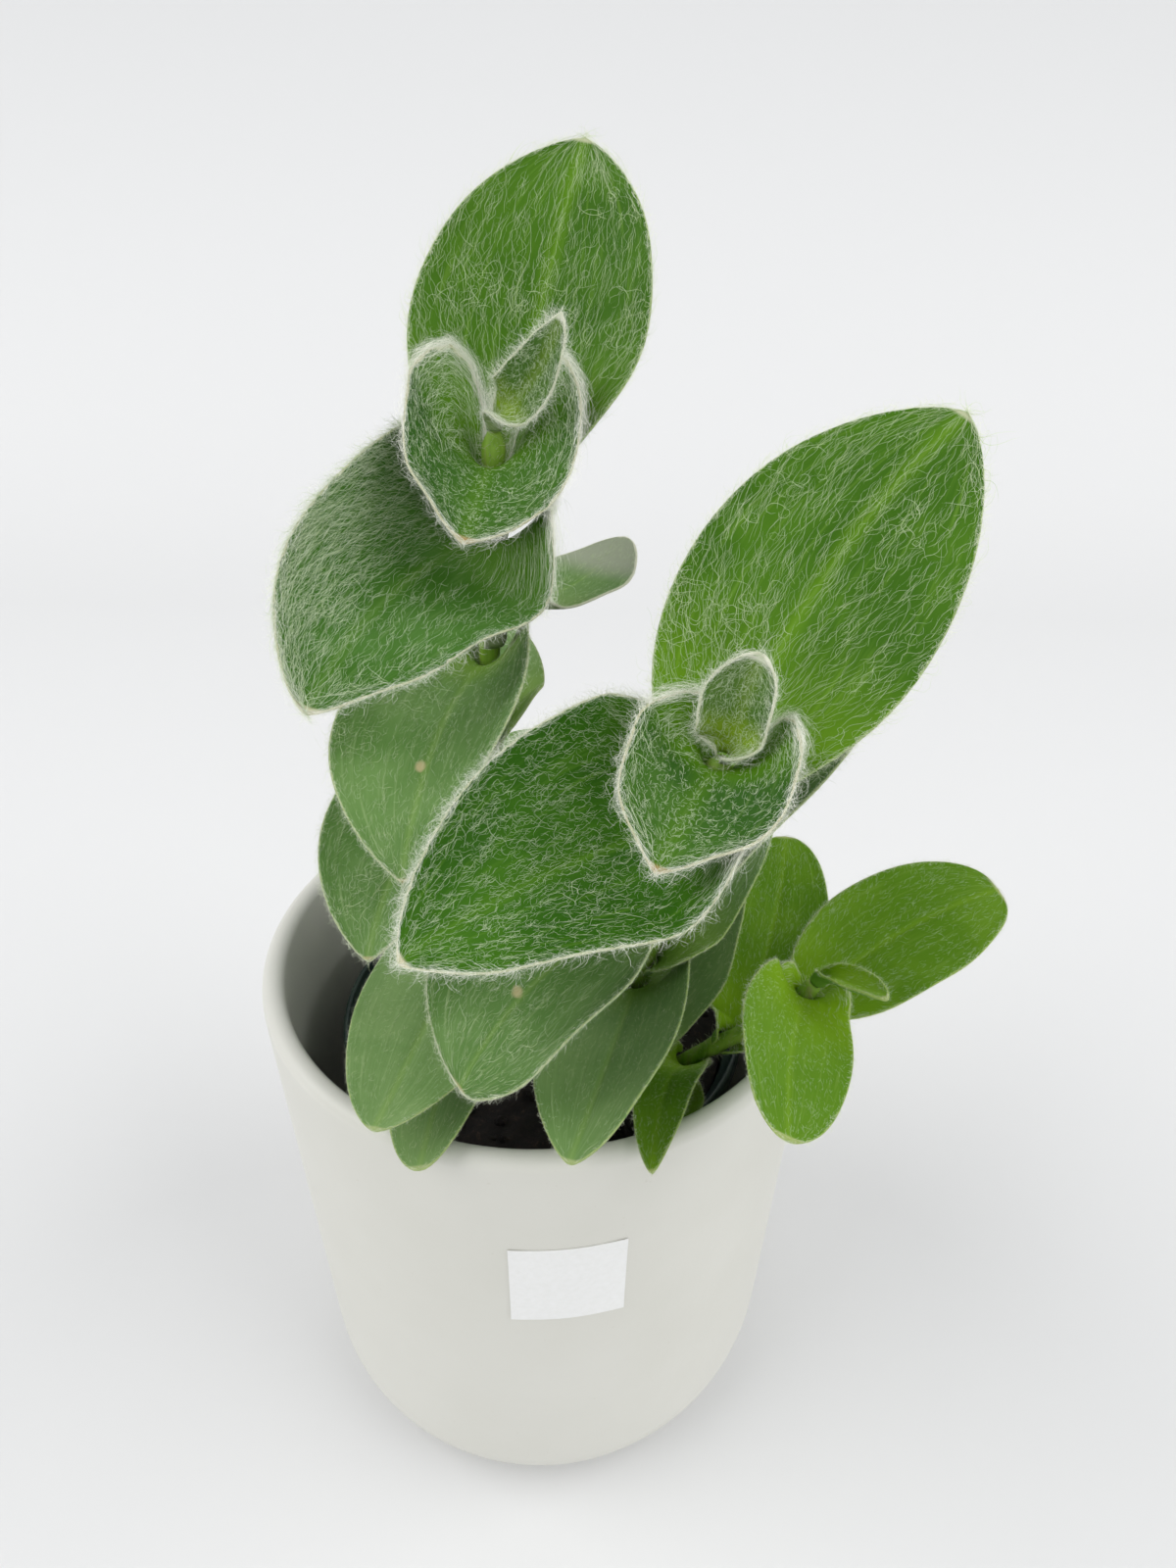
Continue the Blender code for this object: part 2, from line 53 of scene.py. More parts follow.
def addNode(tree, kind, values=None, links=None, **settings):  # one node with its settings and links
    node = tree.nodes.new("ShaderNode" + kind)
    for key, value in settings.items():
        setattr(node, key, value)
    for key, value in (values or {}).items():
        node.inputs[key].default_value = value
    for key, socket in (links or {}).items():
        tree.links.new(socket, node.inputs[key])
    return node


def newMaterial(name, values):
    material = bpy.data.materials.new(name)
    material.use_nodes = True
    shader = material.node_tree.nodes["Principled BSDF"]
    for key, value in values.items():
        shader.inputs[key].default_value = value
    return material, material.node_tree, shader


def joinUp(tree, shader, links):  # outputs into the shader's own sockets
    for key, socket in links.items():
        tree.links.new(socket, shader.inputs[key])


def setRamp(ramp, stops):  # stops are (position, hex or grey level)
    elements = ramp.color_ramp.elements
    while len(elements) < len(stops):
        elements.new(0.5)
    for element, (position, colour) in zip(elements, stops):
        element.position = position
        element.color = hexColour(colour) if isinstance(colour, str) else (colour, colour, colour, 1)


def newPiece(name, points, faces, uv, material, smooth=True):  # triangles only, uv per corner
    mesh = bpy.data.meshes.new(name)
    mesh.vertices.add(len(points))
    mesh.vertices.foreach_set("co", np.asarray(points, np.float32).ravel())
    mesh.loops.add(faces.size)
    mesh.loops.foreach_set("vertex_index", faces.astype(np.int32).ravel())
    mesh.polygons.add(len(faces))
    mesh.polygons.foreach_set("loop_start", np.arange(0, faces.size, 3, dtype=np.int32))
    mesh.polygons.foreach_set("use_smooth", np.full(len(faces), smooth))
    mesh.materials.append(material)
    if uv is not None:
        mesh.uv_layers.new(name="OFBake").uv.foreach_set("vector", uv.astype(np.float32).ravel())
    mesh.update(calc_edges=True)
    mesh.validate()
    piece = bpy.data.objects.new(name, mesh)
    bpy.context.scene.collection.objects.link(piece)
    return piece


def finishPiece(piece, slot, *nodes):
    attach(piece, "root")
    if nodes:
        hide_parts(*nodes)


def unit(vectors):
    return vectors / np.maximum(np.linalg.norm(vectors, axis=-1, keepdims=True), 1e-12)


def ease(value):
    value = np.clip(value, 0, 1)
    return value * value * (3 - 2 * value)


def turnedPiece(name, profile, sides, material):  # profile is (radius, height) from the axis to the axis
    profile = np.array(profile) * mm
    steps = np.linalg.norm(np.diff(profile, axis=0), axis=1)
    climb = np.concatenate([[0], np.cumsum(steps)]) / steps.sum()
    angles = np.arange(sides) * math.tau / sides
    rings = profile[1:-1]
    points = np.stack(
        [
            rings[:, None, 0] * np.cos(angles),
            rings[:, None, 0] * np.sin(angles),
            np.repeat(rings[:, 1:], sides, 1),
        ],
        2,
    ).reshape(-1, 3)
    points = np.concatenate([points, [[0, 0, profile[0, 1]], [0, 0, profile[-1, 1]]]])
    first, last = len(points) - 2, len(points) - 1
    faces, uv = [], []
    for ring in range(len(rings)):
        low, high = climb[ring + 1], climb[min(ring + 2, len(climb) - 1)]
        for i in range(sides):
            j, left, right = (i + 1) % sides, i / sides, (i + 1) / sides
            a, b = ring * sides + i, ring * sides + j
            if ring == 0:
                faces.append((first, a, b))
                uv.append(((left, 0), (left, low), (right, low)))
            if ring == len(rings) - 1:
                faces.append((a, last, b))
                uv.append(((left, low), (left, 1), (right, low)))
                continue
            c, d = b + sides, a + sides
            faces += [(a, d, c), (a, c, b)]
            uv += [((left, low), (left, high), (right, high)), ((left, low), (right, high), (right, low))]
    return newPiece(name, points, np.array(faces), np.array(uv), material)


def between(start, end, steps):  # points on the way from one to the other, without those two
    return [tuple(a + (b - a) * k / steps for a, b in zip(start, end)) for k in range(1, steps)]


def bandFaces(a, b, c, d):  # grids of four corners, each field cut from a to c
    return [np.stack([a, b, c], 2).reshape(-1, 3), np.stack([a, c, d], 2).reshape(-1, 3)]


def capFaces(middle, first, second):  # triangles round one point
    return np.stack([np.full(len(first), middle), first, second], 1)


def arc(centre, radius, start, end, steps):  # angles in degrees, up from the outward direction
    angles = np.radians(np.linspace(start, end, steps + 1))
    return [(centre[0] + radius * math.cos(a), centre[1] + radius * math.sin(a)) for a in angles]


# Camera, solved from the planter's outline in the photograph

viewpoint = {
    "place": (0.0093, -0.1525, 0.2531), "pitch": 30.64, "tilt": 0.98, "lens": 20.25, "nearest": 0.005,
}


def placeCamera():
    pitch, tilt = math.radians(viewpoint["pitch"]), math.radians(viewpoint["tilt"])
    ahead = Vector((0, math.cos(pitch), -math.sin(pitch)))
    level = Vector((1, 0, 0))
    above = level.cross(ahead)
    right = level * math.cos(tilt) + above * math.sin(tilt)
    up = above * math.cos(tilt) - level * math.sin(tilt)
    camera = bpy.data.objects.new("camera", bpy.data.cameras.new("camera"))
    turned = Matrix((right, up, -ahead)).transposed().to_4x4()
    camera.matrix_world = Matrix.Translation(viewpoint["place"]) @ turned
    camera.data.lens = viewpoint["lens"]
    camera.data.clip_start = viewpoint["nearest"]
    bpy.context.scene.collection.objects.link(camera)
    bpy.context.scene.camera = camera


placeCamera()

# Soft daylight from the left and above, in a seamless pale cove

studio = {
    # The floor, middle and wall greys are painted shade and light: the board is darker on the floor behind
    # the planter, which the lamps light most, and lighter up the wall, so that the ground looks even
    "floor": "#e1e1e1", "middle": "#d9d9d9", "wall": "#e9e9e9", "sky": "#f7f9fb", "skyStrength": 0.585,
    "reach": 3.0, "coveStart": 0.7, "coveRadius": 0.9, "coveHeight": 3.5, "coveSteps": 16,
    "windows": [  # the way to it, its strength and its width in degrees
        ("leftWindow", (-1, -0.2, 1.0), 1.35, 50),
        ("rightWindow", (1, -0.2, 0.9), 1.25, 50),
        ("frontFill", (0, -1, 0.3), 0.25, 60),
    ],
}


def boardMaterial():  # board painted matt, which gives a plain pale ground without gloss
    material, tree, shader = newMaterial("boardWithPaintedShade", {"Roughness": 0.9, "Specular IOR Level": 0})
    place = addNode(tree, "TexCoord").outputs["Object"]
    depth = addNode(tree, "SeparateXYZ", links={"Vector": place}).outputs["Y"]
    share = addNode(
        tree, "MapRange", {"From Max": studio["coveStart"] + studio["coveRadius"]}, {"Value": depth}
    )
    # Painted shade and light: this ramp darkens the floor where the lamps fall strongest and lightens the
    # wall
    tint = addNode(tree, "ValToRGB", links={"Fac": share.outputs["Result"]})
    setRamp(tint, [(0.05, studio["floor"]), (0.35, studio["middle"]), (1.0, studio["wall"])])
    joinUp(tree, shader, {"Base Color": tint.outputs["Color"]})
    return material


def buildStudio():
    bpy.context.scene.view_settings.view_transform = "Standard"
    world = bpy.data.worlds.new("paleRoom")
    world.use_nodes = True
    background = world.node_tree.nodes["Background"]
    background.inputs["Color"].default_value = hexColour(studio["sky"])
    background.inputs["Strength"].default_value = studio["skyStrength"]
    bpy.context.scene.world = world
    for name, way, strength, width in studio["windows"]:
        lamp = bpy.data.objects.new(name, bpy.data.lights.new(name, "SUN"))
        lamp.data.energy = strength
        lamp.data.angle = math.radians(width)
        lamp.rotation_euler = Vector(way).to_track_quat("Z", "Y").to_euler()
        bpy.context.scene.collection.objects.link(lamp)
    reach, start, radius = studio["reach"], studio["coveStart"], studio["coveRadius"]
    bends = np.linspace(0, math.pi / 2, studio["coveSteps"] + 1)
    profile = [(-reach, 0), *zip(start + radius * np.sin(bends), radius - radius * np.cos(bends))]
    profile.append((start + radius, studio["coveHeight"]))
    points = np.array([(x, y, z) for y, z in profile for x in (-reach, reach)])
    rows = np.arange(len(profile) - 1)[:, None] * 2
    faces = np.concatenate([rows + (0, 1, 3), rows + (0, 3, 2)])
    newPiece("floor", points, faces, None, boardMaterial())


buildStudio()
print("camera and studio done")

# Planter: stoneware, cast and dipped in a matt white glaze, which gives a soft warm white with faint specks

planterForm = {
    "rimRadius": 60, "height": 125, "footRadius": 58.5, "wall": 4.5, "floor": 6, "footRounding": 20,
    "innerRounding": 8, "flatFoot": 20, "sides": 144,
}
glaze = {"white": "#dbdad2", "shade": "#d7d6cd", "speck": "#c9c5b8", "roughness": 0.42}


def glazeMaterial():
    material, tree, shader = newMaterial("mattWhiteGlaze", {"IOR": 1.5})
    place = addNode(tree, "TexCoord").outputs["Object"]
    # The glaze runs thicker and thinner in patches of about 35 mm
    cloud = addNode(tree, "TexNoise", {"Scale": 28, "Detail": 4}, {"Vector": place}).outputs["Fac"]
    tint = addNode(tree, "ValToRGB", links={"Fac": cloud})
    setRamp(tint, [(0.35, glaze["shade"]), (0.65, glaze["white"])])
    grit = addNode(tree, "TexNoise", {"Scale": 900, "Detail": 2}, {"Vector": place})  # 1 mm specks
    dots = addNode(tree, "ValToRGB", links={"Fac": grit.outputs["Fac"]})
    setRamp(dots, [(0.72, 0.0), (0.78, 0.35)])
    colour = addNode(
        tree, "Mix", {"B": hexColour(glaze["speck"])},
        {"Factor": dots.outputs["Color"], "A": tint.outputs["Color"]}, data_type="RGBA",
    )
    gloss = addNode(
        tree, "MapRange", {"To Min": glaze["roughness"] - 0.05, "To Max": glaze["roughness"] + 0.08},
        {"Value": cloud},
    )
    peel = addNode(tree, "TexNoise", {"Scale": 420, "Detail": 3}, {"Vector": place})  # 2 mm ripples
    bump = addNode(tree, "Bump", {"Strength": 0.12, "Distance": 0.0003}, {"Height": peel.outputs["Fac"]})
    joinUp(tree, shader, {
        "Base Color": colour.outputs["Result"], "Roughness": gloss.outputs["Result"],
        "Normal": bump.outputs["Normal"],
    })
    return material


def buildPlanter():
    form = planterForm
    innerRim, innerFoot = form["rimRadius"] - form["wall"], form["footRadius"] - form["wall"]
    half, low, bend = form["wall"] / 2, form["innerRounding"], form["footRounding"]
    bowl, top = form["floor"] + low, form["height"] - half
    profile = [
        (0, form["floor"]), (innerFoot * 0.5, form["floor"]),
        *arc((innerFoot - low, bowl), low, -90, 0, 8),
        *between((innerFoot, bowl), (innerRim, top), 8),
        *arc((form["rimRadius"] - half, top), half, 180, 0, 14),
        *between((form["rimRadius"], top), (form["footRadius"], bend), 10),
        *arc((form["footRadius"] - bend, bend), bend, 0, -90, 16),
        (form["flatFoot"], 0), (0, 0),
    ]
    planter = turnedPiece("glazed_planter", profile, form["sides"], glazeMaterial())
    finishPiece(planter, "planter", "planter")


buildPlanter()
print("planter done")

# Nursery pot: thin blow-moulded plastic, which gives a dull dark green edge inside the planter

nurseryForm = {
    "rimRadius": 46, "footRadius": 34, "wall": 1.2, "rim": 104, "lip": 2.2, "lipHeight": 5, "foot": 6.3,
    "bevel": 2, "sides": 96, "drains": 4, "drainRadius": 4, "drainRing": 20, "drillLength": 8,
}


def plasticMaterial():
    material, tree, shader = newMaterial("mouldedGreenPlastic", {"IOR": 1.49})
    place = addNode(tree, "TexCoord").outputs["Object"]
    # Dust and dried water in patches of about 6 mm
    dust = addNode(tree, "TexNoise", {"Scale": 180, "Detail": 5}, {"Vector": place}).outputs["Fac"]
    tint = addNode(tree, "ValToRGB", links={"Fac": dust})
    setRamp(tint, [(0.45, "#17302b"), (0.75, "#34473c")])
    gloss = addNode(tree, "MapRange", {"To Min": 0.35, "To Max": 0.6}, {"Value": dust})
    joinUp(tree, shader, {"Base Color": tint.outputs["Color"], "Roughness": gloss.outputs["Result"]})
    return material


def buildNurseryPot():
    form = nurseryForm
    rim, foot, bevel, thin = form["rimRadius"], form["footRadius"], form["bevel"], form["wall"]
    wallTop, wallRadius, floor = form["rim"] - form["lipHeight"], rim - form["lip"], form["foot"] + thin
    profile = [
        (0, floor), (foot - thin - 0.4, floor), (foot - thin, floor + 0.4), (wallRadius - thin, wallTop),
        (wallRadius - thin + 0.5, wallTop + 1), (rim - thin, form["rim"] - thin),
        *arc((rim - thin / 2, form["rim"] - thin / 2), thin / 2, 180, 0, 8),
        (rim, wallTop + 0.3), (rim - 0.3, wallTop), (wallRadius + 0.2, wallTop - 0.4),
        (wallRadius, wallTop - thin), (foot, form["foot"] + bevel),
        *arc((foot - bevel, form["foot"] + bevel), bevel, -15, -90, 5),
        (0, form["foot"]),
    ]
    pot = turnedPiece("green_nursery_pot", profile, form["sides"], plasticMaterial())
    for i in range(form["drains"]):
        turn = math.tau * (i + 0.5) / form["drains"]
        x, y = math.cos(turn) * form["drainRing"], math.sin(turn) * form["drainRing"]
        middle = Vector((x, y, form["foot"]))
        bpy.ops.mesh.primitive_cylinder_add(
            vertices=32, radius=form["drainRadius"] * mm, depth=form["drillLength"] * mm, location=middle * mm
        )
        drill = bpy.context.object
        cut = pot.modifiers.new("drain", "BOOLEAN")
        cut.operation = "DIFFERENCE"
        cut.object = drill
        drilled = bpy.data.meshes.new_from_object(pot.evaluated_get(bpy.context.evaluated_depsgraph_get()))
        pot.modifiers.clear()
        pot.data = drilled
        bpy.data.objects.remove(drill)
    finishPiece(pot, "nursery_pot", "nursery_pot")


buildNurseryPot()
print("nursery pot done")

# Shoots and leaves, in mm and degrees. The form of each leaf is the solid's own.

leafDefaults = {
    "droop": 20, "cup": 22, "roll": 0, "sway": 0, "lobe": 3, "lobeRise": 0.5, "broad": 0.2, "sharp": 0.7,
    "neck": 0, "grey": 0, "bud": False,
}


def leaf(height, heading, rise, length, width, coat, **others):
    first = {"height": height, "heading": heading, "rise": rise, "length": length, "width": width}
    return {**leafDefaults, **first, "coat": coat, **others}


shoots = {
    "left": {
        "foot": (-13.5, -1), "guide": [(-13, 0, 130), (-10, 0, 180), (-7, 0, 229)], "radii": (2.3, 1.8),
        "sheath": 4, "neck": 8,
        "leaves": {
            "bud": leaf(
                229, -22, 33, 20.1, 10.1, "bud", droop=-38, cup=46, roll=83, sway=-11, lobe=0, broad=0.31,
                sharp=0.78, neck=3.4, bud=True,
            ),
            "front_1": leaf(
                222.3, 264, -15, 21, 30, "young", droop=17, cup=42, roll=-19, sway=-3, lobe=9, broad=0.4,
                sharp=0.9, neck=6, lobeRise=1.5,
            ),
            "back_1": leaf(
                216, 68, 63, 64.8, 42, "silky", droop=9, cup=41, roll=12, sway=-4, lobe=4.1, broad=0.05,
                sharp=0.78, neck=3.5,
            ),
            "front_2": leaf(
                210.5, 225, -8, 46.3, 44, "woolly", droop=25, cup=61, roll=-45, sway=29, lobe=1.5,
                broad=0.49, sharp=0.72, neck=5, lobeRise=0, grey=-3,
            ),
            "back_2": leaf(
                196.5, 45, -18, 36.3, 26.6, "dull", droop=-54, cup=18, roll=-4, sway=3, lobe=0, broad=0.21,
                sharp=0.61, neck=7.5,
            ),
            "front_3": leaf(
                188.2, 253, 0, 48.4, 35.1, "soft", droop=46, cup=57, roll=9, sway=12, lobe=6.5, broad=0.08,
                sharp=0.92, neck=4.4, lobeRise=0.7,
            ),
            "back_3": leaf(174, 108, 25, 42, 28, "thin", droop=30),
            "front_4": leaf(
                161.1, 243, 25, 48.9, 35.3, "soft", droop=61, cup=36, roll=-3, sway=23, broad=0.29,
                sharp=0.81, neck=3.3, lobeRise=0.3,
            ),
            "back_4": leaf(148, 60, 20, 50, 30, "thin", droop=35),
            "front_5": leaf(
                134.2, 262, 2, 59.7, 29.3, "thin", droop=1, cup=5, roll=1, sway=-3, lobe=2, broad=0.14,
                sharp=0.65, neck=2.7, lobeRise=0.8,
            ),
            "back_5": leaf(122, 60, 12, 44, 28, "thin", droop=15),
            "front_6": leaf(
                108.9, 266, 31, 63.3, 23.7, "thin", droop=31, cup=29, roll=16, sway=2, lobe=2.8, broad=0.27,
                sharp=0.49, neck=6.4,
            ),
        },
    },
    "right": {
        "foot": (14.5, -13), "guide": [(17, -20, 120), (23, -34, 160), (28, -44.6, 193.5)],
        "radii": (2.3, 1.8), "sheath": 4, "neck": 8,
        "leaves": {
            "bud": leaf(
                193.5, 25, 88, 14.5, 13.4, "bud", droop=19, cup=85, roll=35, sway=2, lobe=0, broad=0.22,
                sharp=0.62, neck=2.6, bud=True,
            ),
            "front_1": leaf(
                193, 239, -9, 19.3, 25.6, "young", droop=31, cup=55, roll=-18, lobe=4, broad=0.32, sharp=1,
                neck=4.9, lobeRise=0.8,
            ),
            "back_1": leaf(
                184.9, 52, 59, 67.3, 39.4, "silky", droop=23, cup=11, roll=12, sway=-28, lobe=2.2,
                broad=0.07, sharp=0.72, neck=3.3, lobeRise=0.9,
            ),
            "front_2": leaf(
                175.4, 199, -3, 48.6, 47, "curly", droop=21, cup=61, roll=-27, sway=13, lobe=2.4,
                broad=0.48, sharp=0.8, neck=10.5, lobeRise=1.1,
            ),
            "back_2": leaf(
                167, 35, 43, 71.6, 25.4, "soft", droop=5, cup=30, roll=-3, sway=-5, lobe=2, broad=0.26,
                sharp=0.72, neck=7.1, lobeRise=0.9,
            ),
            "front_3": leaf(
                158.4, 203, -7, 44, 44.7, "soft", droop=47, cup=54, roll=-2, sway=23, lobe=0.8, broad=0.04,
                sharp=0.68, neck=3.4,
            ),
            "back_3": leaf(144, 60, 45, 48, 30, "thin", droop=10),
            "front_4": leaf(
                133.9, 260, 26, 44.3, 28.3, "thin", droop=44, cup=48, roll=20, sway=-11, lobe=9, sharp=0.69,
                neck=6.3,
            ),
            "back_4": leaf(
                118.2, 8, 61, 42.2, 26.4, "thin", droop=-5, cup=10, roll=24, sway=-3, lobe=2, broad=0.28,
                sharp=0.69, neck=3, lobeRise=0.6,
            ),
        },
    },
    "side": {
        "foot": (26, -20), "guide": [(29, -24, 109), (37, -29, 122), (46, -34, 134), (50, -36, 144)],
        "radii": (1.8, 1.4), "sheath": 2.5, "neck": 5,
        "leaves": {
            "bud": leaf(
                144, -59, 24, 15.1, 8.1, "fresh", droop=2, cup=64, roll=-3, sway=-2, lobe=0, broad=0.17,
                sharp=0.67, neck=4.6, bud=True,
            ),
            "front_1": leaf(
                141.3, 245, 26, 37.2, 20.7, "fresh", droop=32, cup=20, roll=-27, sway=16, lobe=2.3,
                broad=0.16, sharp=0.49, neck=2.5, lobeRise=0.6,
            ),
            "back_1": leaf(
                133.9, 30, 36, 46.8, 24.9, "fresh", droop=25, cup=24, roll=11, sway=-17, lobe=0.1,
                broad=0.02, sharp=0.42, neck=5.4,
            ),
            "back_2": leaf(
                123, 58, 32, 44.9, 22.2, "fresh", droop=5, cup=16, roll=9, sway=24, lobe=0.3, broad=0.11,
                sharp=0.45, neck=3.9,
            ),
            "front_2": leaf(
                112.2, 245, 52, 42.1, 11.7, "fresh", droop=58, cup=23, roll=14, sway=19, lobe=1.3,
                broad=0.23, sharp=0.69, neck=3, lobeRise=0.6,
            ),
            "front_3": leaf(
                102.9, 273, 32, 19.5, 13.2, "fresh", droop=9, cup=26, roll=9, sway=5, lobe=0.8, broad=0.23,
                sharp=0.65, neck=2.6, lobeRise=0.9,
            ),
        },
    },
}
bladeForm = {
    "wrap": 150, "gap": 0.3, "clasp": 0.6, "budFoot": 1.2, "budSheath": 1.2, "footSharpness": 0.8,
    "cupFade": 0.4, "lobeStart": 0.6, "lobeEnd": 0.6, "step": 0.25, "leastHalf": 0.12,
    "sides": (0, 0.03, 0.08, 0.16, 0.26, 0.37, 0.49, 0.61, 0.72, 0.82, 0.9, 0.955, 0.985, 1),
    "sheathRows": 4, "neckRows": 9, "neckShare": 1.2, "bladeRows": 30, "bunching": 1.7,
    "thickness": 0.42, "edge": 0.22, "edgeRound": 0.35, "footRound": 0.8,
    "groove": 0.32, "ridge": 0.4, "ribWidth": 0.9, "wave": 0.55, "waveWidth": 34, "waves": (1.3, 2.4),
}
soilTop, stemFoot = 96, 72


def towards(heading, rise):
    flat, turn = math.cos(math.radians(rise)), math.radians(heading)
    return np.array((flat * math.cos(turn), flat * math.sin(turn), math.sin(math.radians(rise))))


def smoothPath(guide, steps):  # passes through the guide points
    guide = np.array(guide, float)
    knots = np.concatenate([[2 * guide[0] - guide[1]], guide, [2 * guide[-1] - guide[-2]]])
    stretches, path = len(knots) - 3, []
    for i in range(steps + 1):
        place = i / steps * stretches
        k = min(int(place), stretches - 1)
        t = place - k
        a, b, c, d = knots[k : k + 4]
        second, third = 2 * a - 5 * b + 4 * c - d, 3 * b - a - 3 * c + d
        path.append(b + ((c - a) * t + second * t**2 + third * t**3) / 2)
    return np.array(path)


def stemPath(shoot):
    x, y = shoot["foot"]
    middle = (stemFoot + soilTop + 1) / 2
    return smoothPath([(x, y, stemFoot), (x, y, middle), (x, y, soilTop + 1), *shoot["guide"]], 24)


def atHeight(path, height):
    k = int(np.clip(np.searchsorted(path[:, 2], height) - 1, 0, len(path) - 2))
    share = min((height - path[k, 2]) / (path[k + 1, 2] - path[k, 2]), 1)
    return path[k] + (path[k + 1] - path[k]) * share, unit(path[k + 1] - path[k])


def halfWidth(leaf, share):
    place = leaf["broad"] + (1 - leaf["broad"]) * share
    sharpness = leaf["sharp"] if place > 0.5 else bladeForm["footSharpness"]
    return leaf["width"] / 2 * max(4 * place * (1 - place), 0) ** sharpness


def footStretches(leaf, shoot):
    return bladeForm["budSheath"] if leaf["bud"] else shoot["sheath"], leaf["neck"] or shoot["neck"]


def leafSection(leaf, shoot, along, outwards, clasp, midrib, reach, sides):
    form = bladeForm
    sheath, neck = footStretches(leaf, shoot)
    share = np.clip((reach - sheath) / leaf["length"], 0, 1)
    turnedOut, opened = ease((reach - sheath * 0.6) / neck), ease((reach - sheath * 0.5) / neck)
    bladeWay = towards(leaf["heading"] + leaf["sway"] * share, leaf["rise"] - leaf["droop"] * share)
    forwards = unit(along * (1 - turnedOut) + bladeWay * turnedOut)
    level = towards(leaf["heading"] + 90, 0)
    across = unit(level - forwards * (level @ forwards))
    upper = np.cross(forwards, across)
    if upper @ (np.array((0, 0, turnedOut)) - outwards * (1 - turnedOut)) < 0:
        upper = -upper
    roll = math.radians(leaf["roll"]) * ease((reach - sheath) / (neck * 1.5))
    across, upper = (
        across * math.cos(roll) + upper * math.sin(roll), upper * math.cos(roll) - across * math.sin(roll)
    )
    half = clasp * math.radians(form["wrap"]) * (1 - opened) + halfWidth(leaf, share) * opened
    half = max(half, form["leastHalf"])
    bend = math.radians(form["wrap"] * (1 - opened) + leaf["cup"] * (1 - form["cupFade"] * share) * opened)
    radius = half / bend
    hung = ease((reach - sheath * 0.5) / (neck * form["lobeStart"]))
    lobe = leaf["lobe"] * hung * max(0, 1 - share / form["lobeEnd"]) ** 1.5
    back = (along * leaf["lobeRise"] - towards(leaf["heading"], 0)) * lobe
    turn = sides[:, None] * bend
    rim = upper * radius * (1 - np.cos(turn)) + across * radius * np.sin(turn)
    return midrib + rim + back * sides[:, None] ** 2, forwards, half


def leafSurface(leaf, shoot, path):  # the blade's middle surface, row by row from the sheath to the tip
    form = bladeForm
    place, along = atHeight(path, leaf["height"])
    grown = (leaf["height"] - path[0, 2]) / (path[-1, 2] - path[0, 2])
    clasp = shoot["radii"][0] + (shoot["radii"][1] - shoot["radii"][0]) * grown + form["gap"] + form["clasp"]
    sheath, neck = footStretches(leaf, shoot)
    if leaf["bud"]:
        clasp, place = form["budFoot"], path[-1] + along * (sheath + form["gap"])
    outwards = unit(np.cross(towards(leaf["heading"] + 90, 0), along))
    if outwards @ towards(leaf["heading"], 0) < 0:
        outwards = -outwards
    midrib = place + outwards * clasp - along * sheath
    last, neckEnd = sheath + leaf["length"], sheath + neck * form["neckShare"]
    climb = 1 - (1 - np.linspace(0, 1, form["bladeRows"] + 1)[1:]) ** form["bunching"]
    rows = np.concatenate([
        np.linspace(0, sheath, form["sheathRows"] + 1),
        np.linspace(sheath, neckEnd, form["neckRows"] + 1)[1:],
        neckEnd + (last - neckEnd) * climb,
    ])
    sides = np.array(form["sides"])
    sides = np.concatenate([-sides[:0:-1], sides])
    surface, halves, reach = [], [], 0.0
    for row in rows:
        steps = max(1, round((row - reach) / form["step"]))
        step = (row - reach) / steps
        for _ in range(steps):
            _, forwards, _ = leafSection(leaf, shoot, along, outwards, clasp, midrib, reach, sides[:1])
            midrib = midrib + forwards * step
            reach += step
        points, _, half = leafSection(leaf, shoot, along, outwards, clasp, midrib, reach, sides)
        surface.append(points)
        halves.append(half)
    return np.array(surface), np.array(halves), rows, sides


def surfaceFrame(surface):  # unit vectors along, across and up at each point
    along, across = unit(np.gradient(surface, axis=0)), unit(np.gradient(surface, axis=1))
    up = unit(np.cross(along, across))
    return along, unit(np.cross(up, along)), up


def leafSlot(leaf):
    return "young_leaves" if leaf["coat"] in ("bud", "young") or leaf["bud"] else "leaves"


